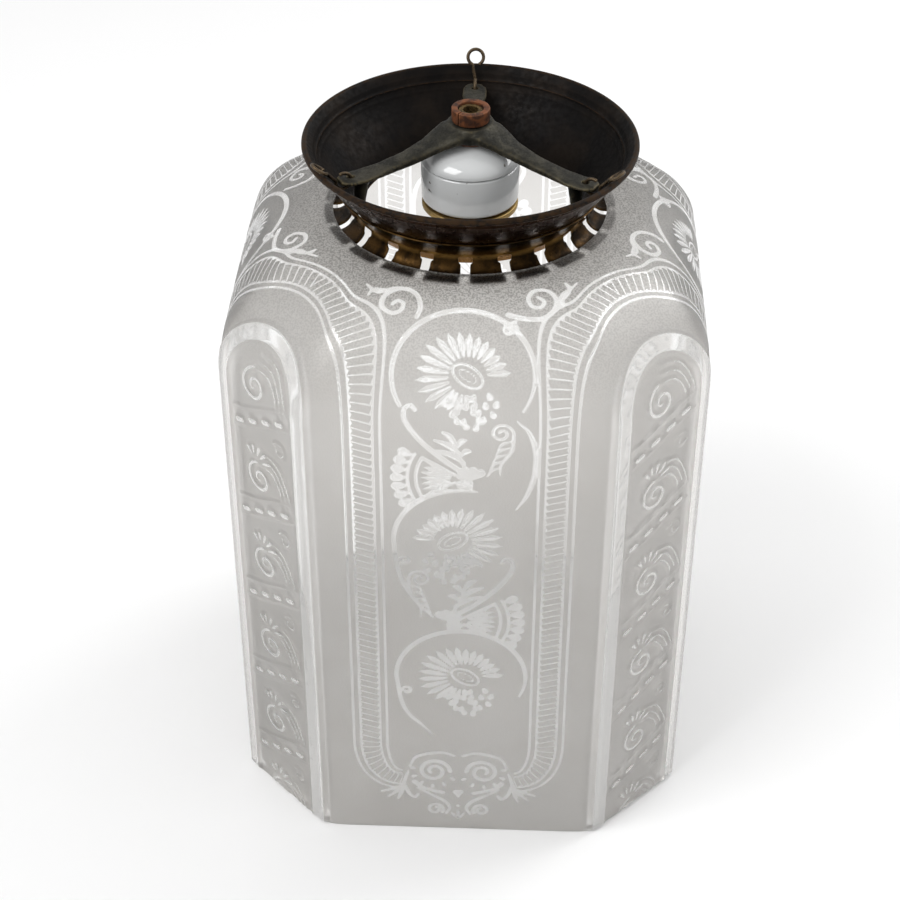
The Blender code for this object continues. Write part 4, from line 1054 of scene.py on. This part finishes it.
def make_porcelain(finish):
    """The domed cap and the skirt below it, which meet in a fine joint."""
    cap_low, cap_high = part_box("porcelain_cap")
    holder_r, cap_rise = cap_high.x, cap_high.z - cap_low.z
    dome = [(holder_r * math.cos(a), min(cap_low.z + cap_rise * 1.01 * math.sin(a), cap_high.z))
            for a in (math.radians(d) for d in range(6, 79, 3))]
    foot = [(19.0 * MM, cap_low.z + 0.1 * MM), (holder_r - 0.5 * MM, cap_low.z),
            (holder_r, cap_low.z + 0.5 * MM)]
    bore = [(BORE_R + MM, cap_high.z), (BORE_R, cap_high.z - 0.5 * MM), (BORE_R, cap_high.z - 2.8 * MM),
            (14 * MM, cap_high.z - 3.0 * MM), (19.0 * MM, cap_high.z - 6 * MM)]
    turned("glazed_cap", foot + dome + bore, 96, (finish, "porcelain_cap", "porcelain", 50))

    low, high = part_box("porcelain_skirt")
    top = cap_low.z - FIT
    mouth_round, mouth_rise = 4.0 * MM, 3.6 * MM
    outside = [(holder_r - mouth_round + mouth_round * math.sin(a), low.z + mouth_rise * (1 - math.cos(a)))
               for a in (math.radians(d) for d in range(10, 91, 8))]
    shoulder_edge = [(holder_r, top - 0.9 * MM), (holder_r - 0.35 * MM, top - 0.25 * MM),
                     (holder_r - 1.0 * MM, top)]
    inside = [(19.2 * MM, top), (19.2 * MM, high.z), (17.3 * MM, high.z), (17.3 * MM, top - 5.1 * MM),
              (15.3 * MM, top - 5.3 * MM)]
    mouth = [(15.3 * MM, low.z), (holder_r - mouth_round, low.z)]
    turned("glazed_skirt", mouth + outside + shoulder_edge + inside, 96,
           (finish, "porcelain_skirt", "porcelain", 50))


def make_shade_ring(finish):
    low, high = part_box("shade_ring")
    inner = high.x - 6.6 * MM
    outline = filleted([(inner, low.z), (high.x, low.z), (high.x, high.z), (inner, high.z)], 0.8 * MM)
    turned("brass_ring", outline, 96, (finish, "shade_ring", "plain_brass", 40))


# Floor, light and camera

def make_stage():
    made = Nodes("pale_floor")
    made.surface("Base Color", made.mix(made.noise(3.0, detail=2.0), (0.90, 0.90, 0.90), (0.93, 0.93, 0.93)))
    made.surface("Roughness", 0.9)
    mesh_data = bmesh.new()
    bmesh.ops.create_grid(mesh_data, x_segments=2, y_segments=2, size=6.0)
    floor = in_scene("floor", as_mesh("floor", mesh_data))
    floor.data.materials.append(made.material)
    floor.location.z = -0.2 * MM

    world = bpy.data.worlds.new("studio")
    world.use_nodes = True
    background = world.node_tree.nodes["Background"]
    background.inputs["Color"].default_value = (1, 1, 1, 1)
    background.inputs["Strength"].default_value = 0.75
    bpy.context.scene.world = world
    middle = Vector((0, 0, 0.2))
    for name, place, power, size in (("key", (-0.9, -0.7, 1.5), 14, 0.9), ("rim", (1.0, 0.6, 1.2), 9, 0.8)):
        light = bpy.data.lights.new(name, 'AREA')
        light.energy, light.size = power, size
        lamp = in_scene(name, light)
        lamp.location = place
        lamp.rotation_euler = (middle - Vector(place)).to_track_quat('-Z', 'Y').to_euler()


def make_camera():
    distance, elevation, azimuth = 0.980, math.radians(36.75), math.radians(1.81)
    roll = math.radians(0.47)
    target = Vector((0, 0, 0.157))
    place = target + distance * Vector((math.cos(elevation) * math.sin(azimuth),
                                        -math.cos(elevation) * math.cos(azimuth), math.sin(elevation)))
    data = bpy.data.cameras.new("camera")
    data.sensor_width = 36
    data.lens = 77.85
    data.shift_x = -0.01996
    data.clip_start = 0.01
    camera = in_scene("camera", data)
    camera.matrix_world = Matrix.Translation(place) \
        @ (target - place).to_track_quat('-Z', 'Y').to_matrix().to_4x4() @ Matrix.Rotation(roll, 4, 'Z')
    bpy.context.scene.camera = camera


def finish_nodes(finish, names):
    """A material for the frame's own small pieces, which stay as they are."""
    for name in names:
        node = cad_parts[name]
        node.data.materials.clear()
        node.data.materials.append(finish)


make_camera()
make_stage()
brass = worn_metal("brass_fittings", (0.24, 0.16, 0.06), (0.45, 0.30, 0.11), (0.85, 0.66, 0.32), scale=110,
                   metallic=1.0, relief=0.05).material
bronze = worn_metal("spider_bronze", (0.018, 0.017, 0.013), (0.050, 0.046, 0.034), (0.20, 0.16, 0.08),
                    roughness=(0.45, 0.75), scale=120, metallic=0.7, relief=0.35, edge_wear=0.8).material
copper = worn_metal("collar_copper", (0.030, 0.010, 0.005), (0.17, 0.055, 0.018), (0.30, 0.12, 0.05),
                    roughness=(0.45, 0.8), scale=260, metallic=0.45, relief=0.35).material
wire = worn_metal("link_wire", (0.016, 0.011, 0.008), (0.050, 0.032, 0.020), (0.25, 0.18, 0.10),
                  roughness=(0.3, 0.6), scale=300, metallic=0.8, relief=0.2).material
tarnished = worn_metal("nipple_brass", (0.010, 0.007, 0.004), (0.045, 0.028, 0.012), (0.30, 0.20, 0.08),
                       roughness=(0.4, 0.7), scale=160, metallic=0.9, relief=0.2).material
steel = worn_metal("screw_steel", (0.20, 0.19, 0.18), (0.42, 0.41, 0.40), (0.7, 0.7, 0.7), scale=400,
                   metallic=1.0, relief=0.05).material
contact = worn_metal("contact_bronze", (0.30, 0.17, 0.08), (0.55, 0.34, 0.18), (0.8, 0.6, 0.4), scale=300,
                     metallic=1.0, relief=0.05).material
fibre = worn_metal("washer_fibre", (0.05, 0.02, 0.012), (0.12, 0.05, 0.03), (0.2, 0.1, 0.06),
                   roughness=(0.7, 0.95), scale=500, metallic=0.0, relief=0.2).material
porcelain = porcelain_material()

make_glass(glass_material())
make_dish(dish_material())
make_fitter(fitter_material())
make_spider(bronze)
for number in (1, 2, 3):
    make_link(number, wire)
make_collar(copper)
make_nipple(tarnished)
make_porcelain(porcelain)
make_shade_ring(brass)
finish_nodes(brass, ["cap_nut", "screw_shell", "terminal_screw_1", "terminal_screw_2"])
finish_nodes(dish_material(), ["arm_rivet_1", "arm_rivet_2", "arm_rivet_3"])
finish_nodes(steel, ["core_screw_1", "core_screw_2"])
finish_nodes(contact, ["centre_contact", "side_contact"])
finish_nodes(fibre, ["hub_washer", "entry_bush"])
finish_nodes(porcelain, ["insulator_core"])

bpy.context.scene.view_settings.view_transform = 'Standard'
